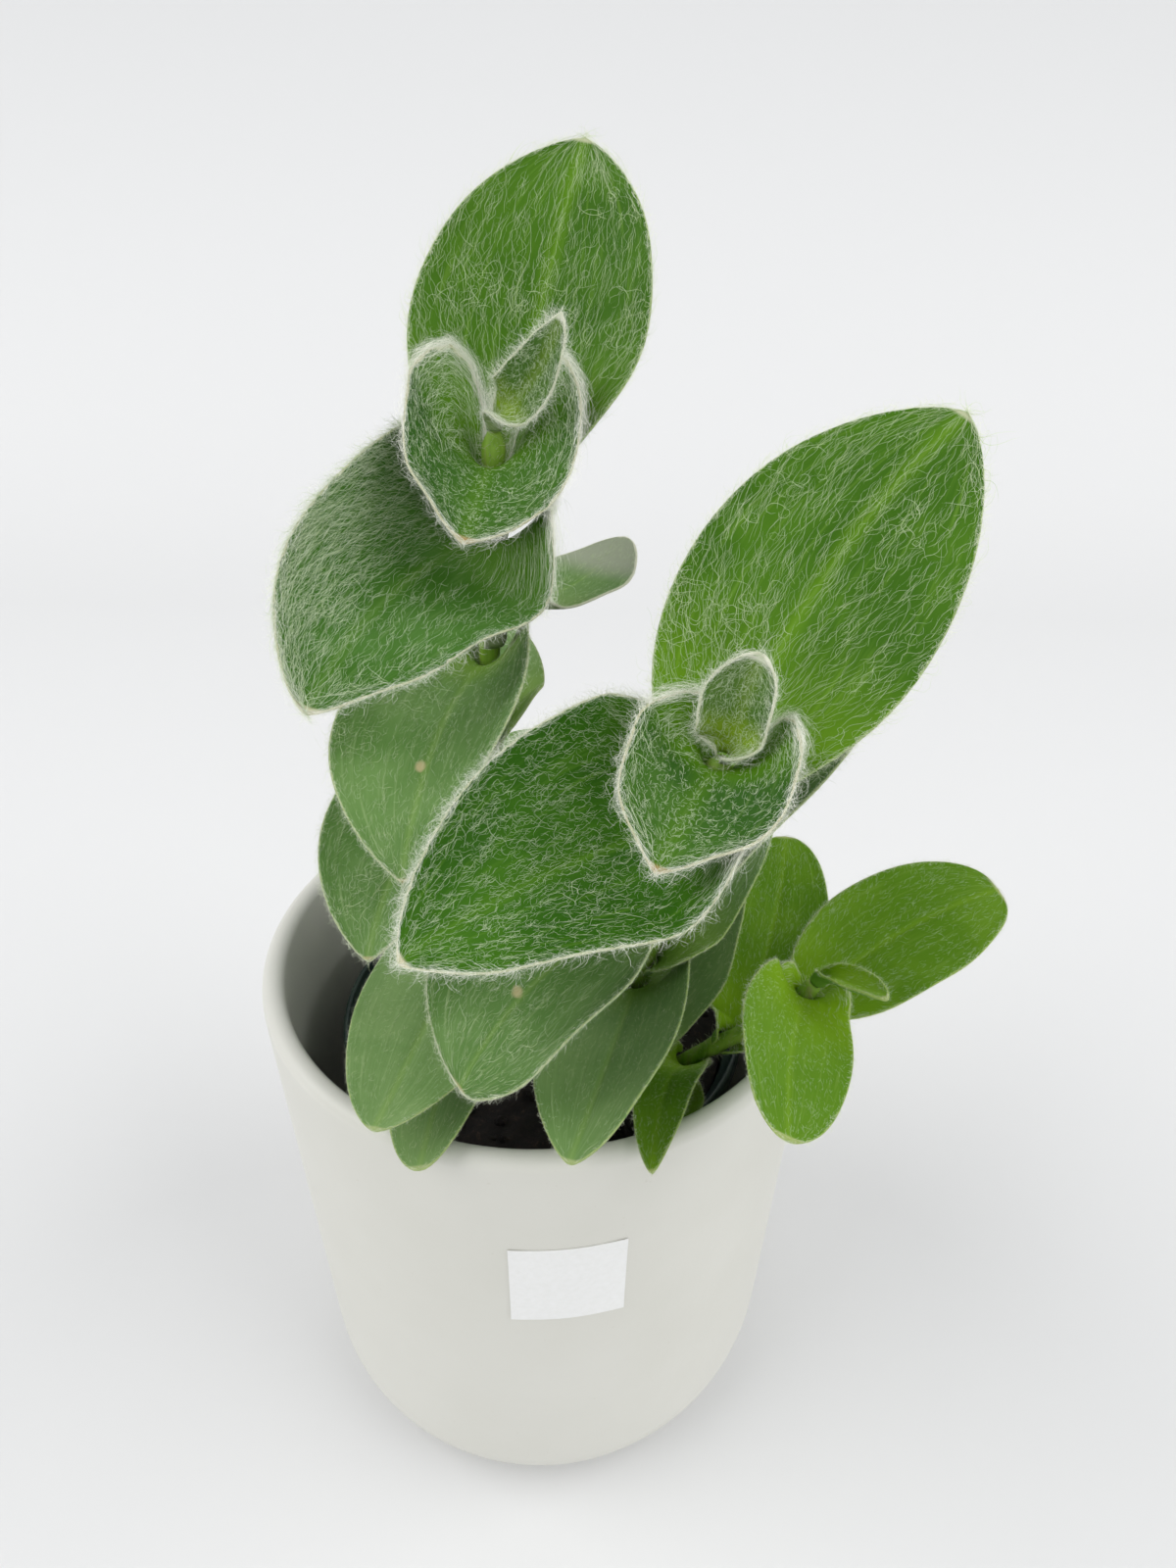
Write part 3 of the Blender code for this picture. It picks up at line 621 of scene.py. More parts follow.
def buildLeaf(name, node, leaf, shoot, path, material):
    form = bladeForm
    surface, halves, rows, sides = leafSurface(leaf, shoot, path)
    sheath, _ = footStretches(leaf, shoot)
    last = rows[-1]
    share = np.clip((rows - sheath) / leaf["length"], 0, 1)[:, None]
    _, _, up = surfaceFrame(surface)
    side = sides[None, :]
    phases, waves = rng.uniform(0, math.tau, 2), rng.uniform(*form["waves"], 2)
    phase, waveCount = np.where(side < 0, *phases), np.where(side < 0, *waves)
    size = form["wave"] * min(leaf["width"] / form["waveWidth"], 1.1)
    size = size * ease(share * 3) * ease((1 - share) * 4)
    lift = size * side**2 * np.sin(math.tau * waveCount * share + phase)
    surface = surface + up * lift[:, :, None]
    _, _, up = surfaceFrame(surface)
    rimGap = (1 - np.abs(side)) * halves[:, None]
    rimGap = np.minimum(rimGap, (last - rows)[:, None] * 0.8)
    acrossGap = np.abs(side) * halves[:, None]
    body = form["thickness"] + (form["edge"] - form["thickness"]) * np.abs(side)
    rounded = np.sqrt(np.clip(1 - (1 - np.clip(rimGap / form["edgeRound"], 0, 1)) ** 2, 0, 1))
    thick = body * rounded * ease(rows / form["footRound"])[:, None]
    thick[-1] = 0
    rib = np.exp(-((acrossGap / form["ribWidth"]) ** 2)) * ease(share * 6) * ease((1 - share) * 2.5)
    top = surface + up * (thick - form["groove"] * rib)[:, :, None]
    under = surface - up * (thick + form["ridge"] * rib)[:, :, None]
    top[:, [0, -1]] = under[:, [0, -1]] = surface[:, [0, -1]]
    top[[0, -1]] = under[[0, -1]] = surface[[0, -1]]
    high, wide = len(rows), len(sides)
    topIndex = np.arange(high * wide).reshape(high, wide)
    underIndex = topIndex.copy()
    inside = np.arange((high - 2) * (wide - 2)).reshape(high - 2, wide - 2)
    underIndex[1:-1, 1:-1] = high * wide + inside
    points = np.concatenate([top.reshape(-1, 3), under[1:-1, 1:-1].reshape(-1, 3)])
    u = np.broadcast_to(0.02 + 0.46 * (side + 1) / 2, (high, wide))
    v = np.broadcast_to(0.02 + 0.96 * (rows / last)[:, None], (high, wide))
    faces, uv = [], []
    for index, shift, flip in ((topIndex, 0, False), (underIndex, 0.5, True)):
        a, b, c, d = index[:-1, :-1], index[1:, :-1], index[1:, 1:], index[:-1, 1:]
        place = np.stack([u + shift, v], 2)
        pa, pb, pc, pd = place[:-1, :-1], place[1:, :-1], place[1:, 1:], place[:-1, 1:]
        left = (np.arange(wide - 1) < (wide - 1) / 2)[None, :, None]
        one = np.where(left, np.stack([a, b, d], 2), np.stack([a, b, c], 2))
        two = np.where(left, np.stack([b, c, d], 2), np.stack([a, c, d], 2))
        oneUv = np.where(left[..., None], np.stack([pa, pb, pd], 2), np.stack([pa, pb, pc], 2))
        twoUv = np.where(left[..., None], np.stack([pb, pc, pd], 2), np.stack([pa, pc, pd], 2))
        both = np.concatenate([one.reshape(-1, 3), two.reshape(-1, 3)])
        bothUv = np.concatenate([oneUv.reshape(-1, 3, 2), twoUv.reshape(-1, 3, 2)])
        faces.append(both[:, ::-1] if flip else both)
        uv.append(bothUv[:, ::-1] if flip else bothUv)
    piece = newPiece(name, points * mm, np.concatenate(faces), np.concatenate(uv), material)
    inner = (slice(1, -1), slice(1, -1))
    reachGrid = np.broadcast_to(rows[:, None], (high, wide))
    tipGap = np.broadcast_to((last - rows)[:, None], (high, wide))
    grids = {"rimGap": rimGap, "acrossGap": acrossGap, "reach": reachGrid, "tipGap": tipGap}
    for title, grid in grids.items():
        values = np.concatenate([grid.ravel(), grid[inner].ravel()]).astype(np.float32)
        piece.data.attributes.new(title, "FLOAT", "POINT").data.foreach_set("value", values)
    finishPiece(piece, leafSlot(leaf), node)
    return {
        "surface": surface, "thick": thick, "halves": halves, "rows": rows, "sides": sides, "sheath": sheath,
    }


# Hairs: flat tapered ribbons that follow the blade. Each goes by its root, its heading on the blade and
# its curl, and past the margin it runs on in the margin's own direction.

def alongSurface(form, reach, side, height, below):  # points over the blade, or past its margin
    row = np.interp(reach, form["rows"], np.arange(len(form["rows"])))
    clamped = np.clip(side, -1, 1)
    column = np.interp(clamped, form["sides"], np.arange(len(form["sides"])))
    i = np.minimum(row.astype(int), len(form["rows"]) - 2)
    j = np.minimum(column.astype(int), len(form["sides"]) - 2)
    fi, fj = row - i, column - j

    def pick(grid):
        weights = ((1 - fi) * (1 - fj), fi * (1 - fj), (1 - fi) * fj, fi * fj)
        corners = (grid[i, j], grid[i + 1, j], grid[i, j + 1], grid[i + 1, j + 1])
        if grid.ndim == 3:
            weights = [w[..., None] for w in weights]
        return sum(w * c for w, c in zip(weights, corners))

    up = unit(pick(form["up"]))
    outwards = unit(pick(form["across"])) * np.sign(side)[..., None]
    onwards = unit(pick(form["along"]))
    half = np.interp(reach, form["rows"], form["halves"])
    past = np.maximum(np.abs(side) - 1, 0) * np.maximum(half, 3)
    beyond = np.maximum(reach - form["rows"][-1], 0)
    facing = np.where(below, -1.0, 1.0)
    points = pick(form["surface"]) + up * (facing * (pick(form["thick"]) + height))[..., None]
    return points + outwards * past[..., None] + onwards * beyond[..., None], up * facing[..., None]


rimShare = 0.6  # hairs past this share of their map are the margin's


def hairMesh(name, points, ups, widths, material, atRim=None):  # points is hairs x steps x 3
    count, steps, _ = points.shape
    flow = unit(np.gradient(points, axis=1))
    spread = unit(np.cross(flow, ups))
    twist = rng.uniform(-0.9, 0.9, (count, 1, 1))
    spread = unit(spread * np.cos(twist) + np.cross(flow, spread) * np.sin(twist))
    t = np.linspace(0, 1, steps)
    width = widths[:, None] * np.sqrt(1 - t)[None, :] * 0.5
    left, right = points + spread * width[..., None], points - spread * width[..., None]
    body = np.stack([left[:, :-1], right[:, :-1]], 2).reshape(count, -1, 3)
    vertices = np.concatenate([body, points[:, -1:]], 1)
    each = vertices.shape[1]
    local = []
    for k in range(steps - 2):
        a = 2 * k
        local += [(a, a + 1, a + 3), (a, a + 3, a + 2)]
    local.append((each - 3, each - 2, each - 1))
    local = np.array(local)
    faces = (np.arange(count)[:, None, None] * each + local[None]).reshape(-1, 3)
    u = rng.uniform(0.012, rimShare - 0.012, count)
    if atRim is not None:
        spare = (0.976 - rimShare) / (rimShare - 0.024)
        u = np.where(atRim, rimShare + 0.012 + (u - 0.012) * spare, u)
    shift = np.array([(-0.006, 0.006)[k % 2] for k in range(each - 1)] + [0.0])
    level = np.repeat(0.02 + 0.96 * t[:-1], 2).tolist() + [0.98]
    uv = np.stack([u[:, None] + shift[None], np.broadcast_to(np.array(level), (count, each))], 2)
    uv = uv[:, local].reshape(-1, 3, 2)
    return newPiece(name, vertices.reshape(-1, 3) * mm, faces, uv, material)


coats = {
    # hairs a square mm on top and below, their share at the foot, width, lengths, curl, lift, spread of
    # heading and flow to the margin, margin hairs a mm with lengths and curl, points a hair, tangles, and the
    # wool's colour
    "bud": {
        "top": 5.0, "below": 2, "foot": 1, "width": 0.048, "length": (0.8, 2.2), "curl": 2.4,
        "lift": 0.3, "spread": 0.7, "flow": 0.3, "margin": 20, "marginLength": (0.9, 2.9),
        "marginCurl": 2.2, "steps": 6, "tangles": 0, "wool": "white",
    },
    "young": {
        "top": 4.2, "below": 1.0, "foot": 0.5, "width": 0.045, "length": (0.7, 1.8), "curl": 2.6,
        "lift": 0.28, "spread": 0.9, "flow": 0.5, "margin": 20, "marginLength": (0.9, 2.9),
        "marginCurl": 2.2, "steps": 6, "tangles": 2, "wool": "white",
    },
    "silky": {
        "top": 0.8, "below": 0.3, "foot": 0.35, "width": 0.045, "length": (2.6, 6.5), "curl": 0.5,
        "lift": 0.05, "spread": 0.18, "flow": 0.4, "margin": 13, "marginLength": (0.7, 2.2),
        "marginCurl": 1.8, "steps": 8, "tangles": 8, "wool": "silk",
    },
    "woolly": {
        "top": 1.1, "below": 0.3, "foot": 0.7, "width": 0.044, "length": (2.0, 5.0), "curl": 0.7,
        "lift": 0.06, "spread": 0.22, "flow": 0.5, "margin": 20, "marginLength": (0.9, 3.2),
        "marginCurl": 2.2, "steps": 7, "tangles": 5, "wool": "white",
    },
    "soft": {
        "top": 1.3, "below": 0.3, "foot": 0.7, "width": 0.042, "length": (1.0, 2.6), "curl": 0.9,
        "lift": 0.12, "spread": 0.45, "flow": 0.5, "margin": 14, "marginLength": (0.6, 1.6),
        "marginCurl": 2.4, "steps": 6, "tangles": 3, "wool": "silk",
    },
    "thin": {
        "top": 1.05, "below": 0.25, "foot": 0.7, "width": 0.036, "length": (0.7, 1.7), "curl": 0.8,
        "lift": 0.12, "spread": 0.4, "flow": 0.4, "margin": 9, "marginLength": (0.4, 0.9),
        "marginCurl": 1.8, "steps": 4, "tangles": 0, "wool": "silk",
    },
    "fresh": {
        "top": 1.6, "below": 0.3, "foot": 0.7, "width": 0.038, "length": (0.7, 1.7), "curl": 0.8,
        "lift": 0.12, "spread": 0.4, "flow": 0.4, "margin": 13, "marginLength": (0.4, 1.2),
        "marginCurl": 1.6, "steps": 4, "tangles": 0, "wool": "silk",
    },
}
coats["dull"] = coats["thin"]
coats["curly"] = {
    **coats["woolly"], "top": 2.1, "length": (1.0, 2.8), "curl": 1.4, "spread": 0.5, "lift": 0.12, "steps": 6,
}
tangle = {"hairs": 26, "reach": 3.4, "length": (2.5, 6.0), "curl": 3.2, "lift": 0.14, "width": 1.5}
fringe = {"inset": 0.35, "heading": (1.1, 0.7), "lift": (0.15, 0.4), "below": 0.35, "width": 0.8}
stray = {"wave": 0.5, "waves": 7, "curlFrom": 0.3, "leastHalf": 2.5}
grownIn = 26  # mm from the foot over which a coat comes to its full thickness


def strayPath(form, reach, side, heading, curl, length, steps):  # a path on the blade, in reach and side
    t = (np.arange(steps - 1) + 0.5) / (steps - 1)
    wave = rng.normal(0, stray["wave"], (len(reach), 1))
    wave = wave * np.sin(t * stray["waves"] + rng.uniform(0, 6, (len(reach), 1)))
    turn = heading[:, None] + curl[:, None] * (t - stray["curlFrom"]) + wave
    ahead = np.cumsum(np.cos(turn), 1) * length[:, None] / (steps - 1)
    aside = np.cumsum(np.sin(turn), 1) * length[:, None] / (steps - 1)
    zero = np.zeros((len(reach), 1))
    ahead, aside = np.concatenate([zero, ahead], 1), np.concatenate([zero, aside], 1)
    path = np.clip(reach[:, None] + ahead, 0, None)
    half = np.maximum(np.interp(reach, form["rows"], form["halves"]), stray["leastHalf"])
    outside = np.where(side < 0, -1.0, 1.0)
    return path, side[:, None] + outside[:, None] * aside / half[:, None]


def fieldSizes(form, leaf, coat):  # each field of the blade's grid, made larger where the coat is thick
    surface, low = form["surface"], form["sheath"] * 0.6
    onwards, sideways = surface[1:, :-1] - surface[:-1, :-1], surface[:-1, 1:] - surface[:-1, :-1]
    sizes = np.linalg.norm(np.cross(onwards, sideways), axis=2)
    sizes[form["rows"][:-1] < low] = 0
    sizes *= 1 + np.clip(leaf["grey"] * form["sides"][:-1], 0, None) ** 1.5
    sizes *= (coat["foot"] + (1 - coat["foot"]) * ease(form["rows"][:-1] / grownIn))[:, None]
    return sizes


def bladeHairs(form, coat, chances, wide, count, below):  # paths, heights, below or not, thickness, at rim
    cell = rng.choice(len(chances), count, p=chances)
    i, j = cell // wide, cell % wide
    reach = form["rows"][i] + rng.uniform(0, 1, count) * np.diff(form["rows"])[i]
    side = form["sides"][j] + rng.uniform(0, 1, count) * np.diff(form["sides"])[j]
    heading = coat["flow"] * np.abs(side) ** 0.7 + rng.normal(0, coat["spread"], count)
    curl = rng.normal(0, coat["curl"], count)
    length = rng.uniform(*coat["length"], count)
    path, sides = strayPath(form, reach, side, heading, curl, length, coat["steps"])
    t = np.linspace(0, 1, coat["steps"])
    lift = np.abs(rng.normal(coat["lift"], coat["lift"] * 0.6, count))
    height = length[:, None] * lift[:, None] * (t * (1.5 - 0.7 * t))[None]
    return path, sides, height, np.full(path.shape, below), np.ones(count), np.full(count, False)


def tangledHairs(form, coat, chances, wide):  # long hairs curled over each other round a few places
    count = coat["tangles"] * tangle["hairs"]
    centre = np.repeat(rng.choice(len(chances), coat["tangles"], p=chances), tangle["hairs"])
    reach = form["rows"][centre // wide] + rng.normal(0, tangle["reach"], count)
    reach = np.clip(reach, form["sheath"] + 3, form["rows"][-1] - 1)
    side = form["sides"][centre % wide] + rng.normal(0, tangle["reach"], count) / form["halves"].max()
    length = rng.uniform(*tangle["length"], count)
    heading, curl = rng.uniform(-math.pi, math.pi, count), rng.normal(0, tangle["curl"], count)
    path, sides = strayPath(form, reach, np.clip(side, -0.95, 0.95), heading, curl, length, coat["steps"])
    t = np.linspace(0, 1, coat["steps"])
    lift = np.abs(rng.normal(tangle["lift"], 0.08, (count, 1)))
    height = length[:, None] * lift * (t * (1.6 - 0.9 * t))[None]
    thick, atRim = np.full(count, tangle["width"]), np.full(count, False)
    return path, sides, height, np.full(path.shape, False), thick, atRim


def marginHairs(form, coat):
    edge = np.linalg.norm(np.diff(form["surface"][:, [0, -1]], axis=0), axis=2)
    edge[form["rows"][:-1] < form["sheath"] * 0.6] = 0
    count = int(edge.sum() * coat["margin"])
    cell = rng.choice(edge.size, count, p=(edge / edge.sum()).ravel())
    i, j = cell // 2, cell % 2
    reach = form["rows"][i] + rng.uniform(0, 1, count) * np.diff(form["rows"])[i]
    half = np.maximum(np.interp(reach, form["rows"], form["halves"]), 2)
    inset = np.abs(rng.normal(0, fringe["inset"], count)) / half
    side = np.where(j == 0, -1.0, 1.0) * np.maximum(1 - inset, 0.6)
    heading = rng.normal(*fringe["heading"], count)
    length = rng.uniform(*coat["marginLength"], count)
    curl = rng.normal(0, coat["marginCurl"], count)
    path, sides = strayPath(form, reach, side, heading, curl, length, coat["steps"])
    t = np.linspace(0, 1, coat["steps"])
    height = length[:, None] * rng.normal(*fringe["lift"], (count, 1)) * (t * (1.6 - 0.8 * t))[None]
    below = np.broadcast_to(rng.uniform(0, 1, (count, 1)) < fringe["below"], path.shape)
    return path, sides, np.abs(height), below, np.full(count, fringe["width"]), np.full(count, True)


def buildHairs(name, form, leaf, coat, material):
    form["along"], form["across"], form["up"] = surfaceFrame(form["surface"])
    sizes = fieldSizes(form, leaf, coat)
    area, wide = sizes.sum(), sizes.shape[1]
    chances = (sizes / area).ravel()
    groups = [
        bladeHairs(form, coat, chances, wide, int(area * density), below)
        for below, density in ((False, coat["top"]), (True, coat["below"]))
    ]
    if coat["tangles"]:
        groups.append(tangledHairs(form, coat, chances, wide))
    groups.append(marginHairs(form, coat))
    path, sides, height, below, thick, atRim = (np.concatenate(parts) for parts in zip(*groups))
    points, ups = alongSurface(form, path, sides, height, below)
    widths = coat["width"] * thick * rng.uniform(0.7, 1.2, len(points))
    piece = hairMesh(name, points, ups, widths, material, atRim)
    finishPiece(piece, leafSlot(leaf))
    return len(piece.data.polygons)


# Leaf skins: living leaf, whose layers give a yellow-green foot and midrib, the foot partly painted light
# shining through the blade, a dull green blade with faint streaks, a cream margin and a paler underside

leafLooks = {
    # colours, then in mm how far the throat, margin, midrib and tip reach, and the strength of the pale line
    "bud": {
        "dark": "#466c26", "light": "#5c7e34", "throat": "#86a51e", "pale": "#8fa374",
        "under": "#86976c", "margin": "#dfe0c8", "tip": "#f0eee2", "glow": 8, "edge": 0.3, "midrib": 2,
        "tipStart": 1.4, "line": 0.2,
    },
    "young": {
        "dark": "#2f5a16", "light": "#457020", "throat": "#5f9000", "pale": "#6d8c48",
        "under": "#74905a", "margin": "#d9d3b0", "tip": "#b3935c", "glow": 9, "edge": 0.32, "midrib": 3,
        "tipStart": 1.4, "line": 0.2,
    },
    "silky": {
        "dark": "#376404", "light": "#4a7810", "throat": "#76a612", "pale": "#709834",
        "under": "#6b8a4c", "margin": "#a9bd7c", "tip": "#cfcfae", "glow": 36, "edge": 0.22,
        "midrib": 2.5, "tipStart": 1.4, "line": 0.4,
    },
    "woolly": {
        "dark": "#3d6a1e", "light": "#55803a", "throat": "#5c8a24", "pale": "#7b9a5c",
        "under": "#6a8452", "margin": "#d8d6b4", "tip": "#d9cfae", "glow": 16, "edge": 0.3, "midrib": 2,
        "tipStart": 1.4, "line": 0.2,
    },
    "curly": {
        "dark": "#2d5e06", "light": "#427410", "throat": "#568418", "pale": "#64902e",
        "under": "#66804c", "margin": "#d8d8b6", "tip": "#d9cfae", "glow": 16, "edge": 0.3, "midrib": 2,
        "tipStart": 1.4, "line": 0.2,
    },
    # The soft and thin skins are partly the low leaves' own grey-green and partly painted light, made paler
    # to make up for the shade these leaves lie in
    "soft": {
        "dark": "#5a803e", "light": "#739655", "throat": "#7fa23e", "pale": "#98b078",
        "under": "#79946c", "speck": "#c2b488", "margin": "#b4bf8e", "tip": "#c0b488", "glow": 16,
        "edge": 0.28, "midrib": 1.2, "tipStart": 0.9, "line": 0.15,
    },
    "thin": {
        "dark": "#6c8e50", "light": "#82a063", "throat": "#7fa23c", "pale": "#9ab27a",
        "under": "#6f8a54", "margin": "#9fb070", "tip": "#a6b47c", "glow": 20, "edge": 0.22,
        "midrib": 1, "tipStart": 0.9, "line": 0.12,
    },
    "fresh": {
        "dark": "#588410", "light": "#6c961e", "throat": "#7ea60c", "pale": "#86a64a",
        "under": "#628a38", "margin": "#9fb462", "tip": "#a6b46c", "glow": 22, "edge": 0.22,
        "midrib": 1, "tipStart": 0.9, "line": 0.1,
    },
    "dull": {
        "dark": "#557a3a", "light": "#6a8b4c", "throat": "#7a9d3e", "pale": "#8aa46a",
        "under": "#8a9078", "margin": "#d4d3bf", "tip": "#9ba08d", "glow": 26, "edge": 0.5, "midrib": 1,
        "tipStart": 15, "line": 0.2,
    },
}


speck = {"place": (0.235, 0.62), "scale": (76, 52), "radii": (1.3, 0.5)}  # a tan scar of about 2 mm


def leafMaterial(title, look):
    material, tree, shader = newMaterial(title, {"IOR": 1.42, "Roughness": 0.62, "Specular IOR Level": 0.2})
    place = addNode(tree, "TexCoord").outputs["Object"]
    shares = addNode(tree, "UVMap", uv_map="OFBake").outputs["UV"]
    u = addNode(tree, "SeparateXYZ", links={"Vector": shares}).outputs["X"]
    rim, across, reach, tip = (
        addNode(tree, "Attribute", attribute_name=gap).outputs["Fac"]
        for gap in ("rimGap", "acrossGap", "reach", "tipGap")
    )
    # Patches of about 14 mm, streaks of 0.8 by 15 mm as the veins are spaced, and a felt of 1.4 mm, which is
    # coarser than the real one so that it shows
    cloud = addNode(tree, "TexNoise", {"Scale": 70, "Detail": 3}, {"Vector": place}).outputs["Fac"]
    stretch = addNode(tree, "Mapping", {"Scale": (95, 4, 1)}, {"Vector": shares}).outputs["Vector"]
    streak = addNode(tree, "TexNoise", {"Scale": 1, "Detail": 3}, {"Vector": stretch}).outputs["Fac"]
    grain = addNode(tree, "TexNoise", {"Scale": 700, "Detail": 2}, {"Vector": place}).outputs["Fac"]
    ragged = addNode(tree, "Math", {1: 0.7, 2: -0.35}, {0: grain}, operation="MULTIPLY_ADD").outputs["Value"]
    roughRim = addNode(tree, "Math", None, {0: rim, 1: ragged}, operation="ADD").outputs["Value"]
    layers = [  # what drives it, where it starts and is full, its strength and colour
        (cloud, 0.38, 0.66, 0.7, "light"), (streak, 0.5, 0.8, 0.55, "pale"),
        # The throat layer is partly the foot's own yellow-green and partly painted light shining through the
        # blade
        (reach, look["glow"], 4, 0.8, "throat"), (across, look["midrib"], 0, 0.3, "throat"),
        (u, 0.499, 0.501, 0.8, "under"), (across, 0.4, 0.1, look["line"], "pale"),
        (tip, look["tipStart"], look["tipStart"] * 0.5, 0.9, "tip"),
        (roughRim, look["edge"], look["edge"] * 0.6, 0.75, "margin"),
    ]
    if "speck" in look:
        high, wide = speck["scale"]
        spread = addNode(tree, "Mapping", {"Scale": (high, wide, 1)}, {"Vector": shares}).outputs["Vector"]
        middle = (speck["place"][0] * high, speck["place"][1] * wide, 0)
        away = addNode(tree, "VectorMath", {1: middle}, {0: spread}, operation="DISTANCE").outputs["Value"]
        roughSpeck = addNode(tree, "Math", None, {0: away, 1: ragged}, operation="ADD").outputs["Value"]
        layers.append((roughSpeck, *speck["radii"], 0.85, "speck"))
    base = None
    for source, start, full, strength, colour in layers:
        share = addNode(
            tree, "MapRange", {"From Min": start, "From Max": full, "To Max": strength}, {"Value": source},
            interpolation_type="SMOOTHSTEP",
        )
        mix = addNode(
            tree, "Mix", {"A": hexColour(look["dark"]), "B": hexColour(look[colour])},
            {"Factor": share.outputs["Result"]}, data_type="RGBA",
        )
        if base:
            tree.links.new(base, mix.inputs["A"])
        base = mix.outputs["Result"]
    height = addNode(tree, "Math", None, {0: streak, 1: grain}, operation="ADD").outputs["Value"]
    bump = addNode(tree, "Bump", {"Strength": 0.35, "Distance": 0.0003}, {"Height": height})
    joinUp(tree, shader, {"Base Color": base, "Normal": bump.outputs["Normal"]})
    return material


def hairMaterial(title, root, middle, tip, rim):  # living hairs, greenish on the blade, pale on its margin
    material, tree, shader = newMaterial(title, {"IOR": 1.55, "Roughness": 0.55, "Sheen Roughness": 0.5})
    shares = addNode(tree, "UVMap", uv_map="OFBake").outputs["UV"]
    parts = addNode(tree, "SeparateXYZ", links={"Vector": shares})
    # Each hair lies in its own column of the map, so this gives each its own tone
    tone = addNode(
        tree, "TexNoise", {"Scale": 60, "Detail": 1}, {"W": parts.outputs["X"]}, noise_dimensions="1D"
    )
    tint = addNode(tree, "ValToRGB", links={"Fac": parts.outputs["Y"]})
    setRamp(tint, [(0.0, root), (0.35, middle), (1.0, tip)])
    shade = addNode(
        tree, "MapRange", {"From Min": 0.3, "From Max": 0.7, "To Max": 0.35}, {"Value": tone.outputs["Fac"]}
    )
    mix = addNode(
        tree, "Mix", {"B": hexColour(root)},
        {"Factor": shade.outputs["Result"], "A": tint.outputs["Color"]}, data_type="RGBA",
    )
    atRim = addNode(tree, "Math", {1: rimShare}, {0: parts.outputs["X"]}, operation="GREATER_THAN")
    sheen = addNode(tree, "Math", {1: 0.6, 2: 0.4}, {0: atRim.outputs["Value"]}, operation="MULTIPLY_ADD")
    # The margin hairs' near-white is partly their own white and partly painted light, standing in for light
    # glowing through them
    pale = addNode(
        tree, "Mix", {"B": hexColour(rim)},
        {"Factor": atRim.outputs["Value"], "A": mix.outputs["Result"]}, data_type="RGBA",
    )
    joinUp(tree, shader, {"Sheen Weight": sheen.outputs["Value"], "Base Color": pale.outputs["Result"]})
    return material


def growLeaves():
    skins = {coat: leafMaterial(f"{coat}LeafSkin", look) for coat, look in leafLooks.items()}
    wools = {
        # Each last colour, for the margin hairs, is raised near white as painted light glowing through the
        # hairs
        "white": hairMaterial("whiteWool", "#9cb878", "#d8e6c0", "#f0f5e2", "#fdfdf2"),
        "silk": hairMaterial("silkyHair", "#98b668", "#cbdbac", "#e4ecd0", "#eef1da"),
    }
    total = 0
    for shootName, shoot in shoots.items():
        path = stemPath(shoot)
        for place, leaf in shoot["leaves"].items():
            node = f"{shootName}_leaf_{place}"
            coat = coats[leaf["coat"]]
            form = buildLeaf(f"{node}_blade", node, leaf, shoot, path, skins[leaf["coat"]])
            total += buildHairs(f"{node}_hairs", form, leaf, coat, wools[coat["wool"]])
    return total


print("leaves done:", growLeaves(), "hair triangles")

# Stems: living stem, pale green with faint purple streaks and fine hairs, thicker at each joint

stemForm = {
    "sides": 20, "rings": 120, "joint": 0.28, "jointLength": 1.6, "endShare": 0.6, "hairs": 1.9,
    "hairWidth": 0.06, "hairLength": (0.8, 2.2), "hairSteps": 4, "hairLean": (0.5, 0.5), "hairSpread": 0.25,
    "hairSag": 0.25,
}


def stemMaterial():
    material, tree, shader = newMaterial("hairyGreenStem", {"IOR": 1.42, "Roughness": 0.6})
    place = addNode(tree, "TexCoord").outputs["Object"]
    # Streaks of about 1 by 22 mm
    stretch = addNode(tree, "Mapping", {"Scale": (900, 900, 45)}, {"Vector": place}).outputs["Vector"]
    streak = addNode(tree, "TexNoise", {"Scale": 1, "Detail": 3}, {"Vector": stretch}).outputs["Fac"]
    tint = addNode(tree, "ValToRGB", links={"Fac": streak})
    setRamp(tint, [(0.3, "#6e9428"), (0.55, "#86ab38"), (0.8, "#8f8a60")])
    bump = addNode(tree, "Bump", {"Strength": 0.3, "Distance": 0.0002}, {"Height": streak})
    joinUp(tree, shader, {"Base Color": tint.outputs["Color"], "Normal": bump.outputs["Normal"]})
    return material


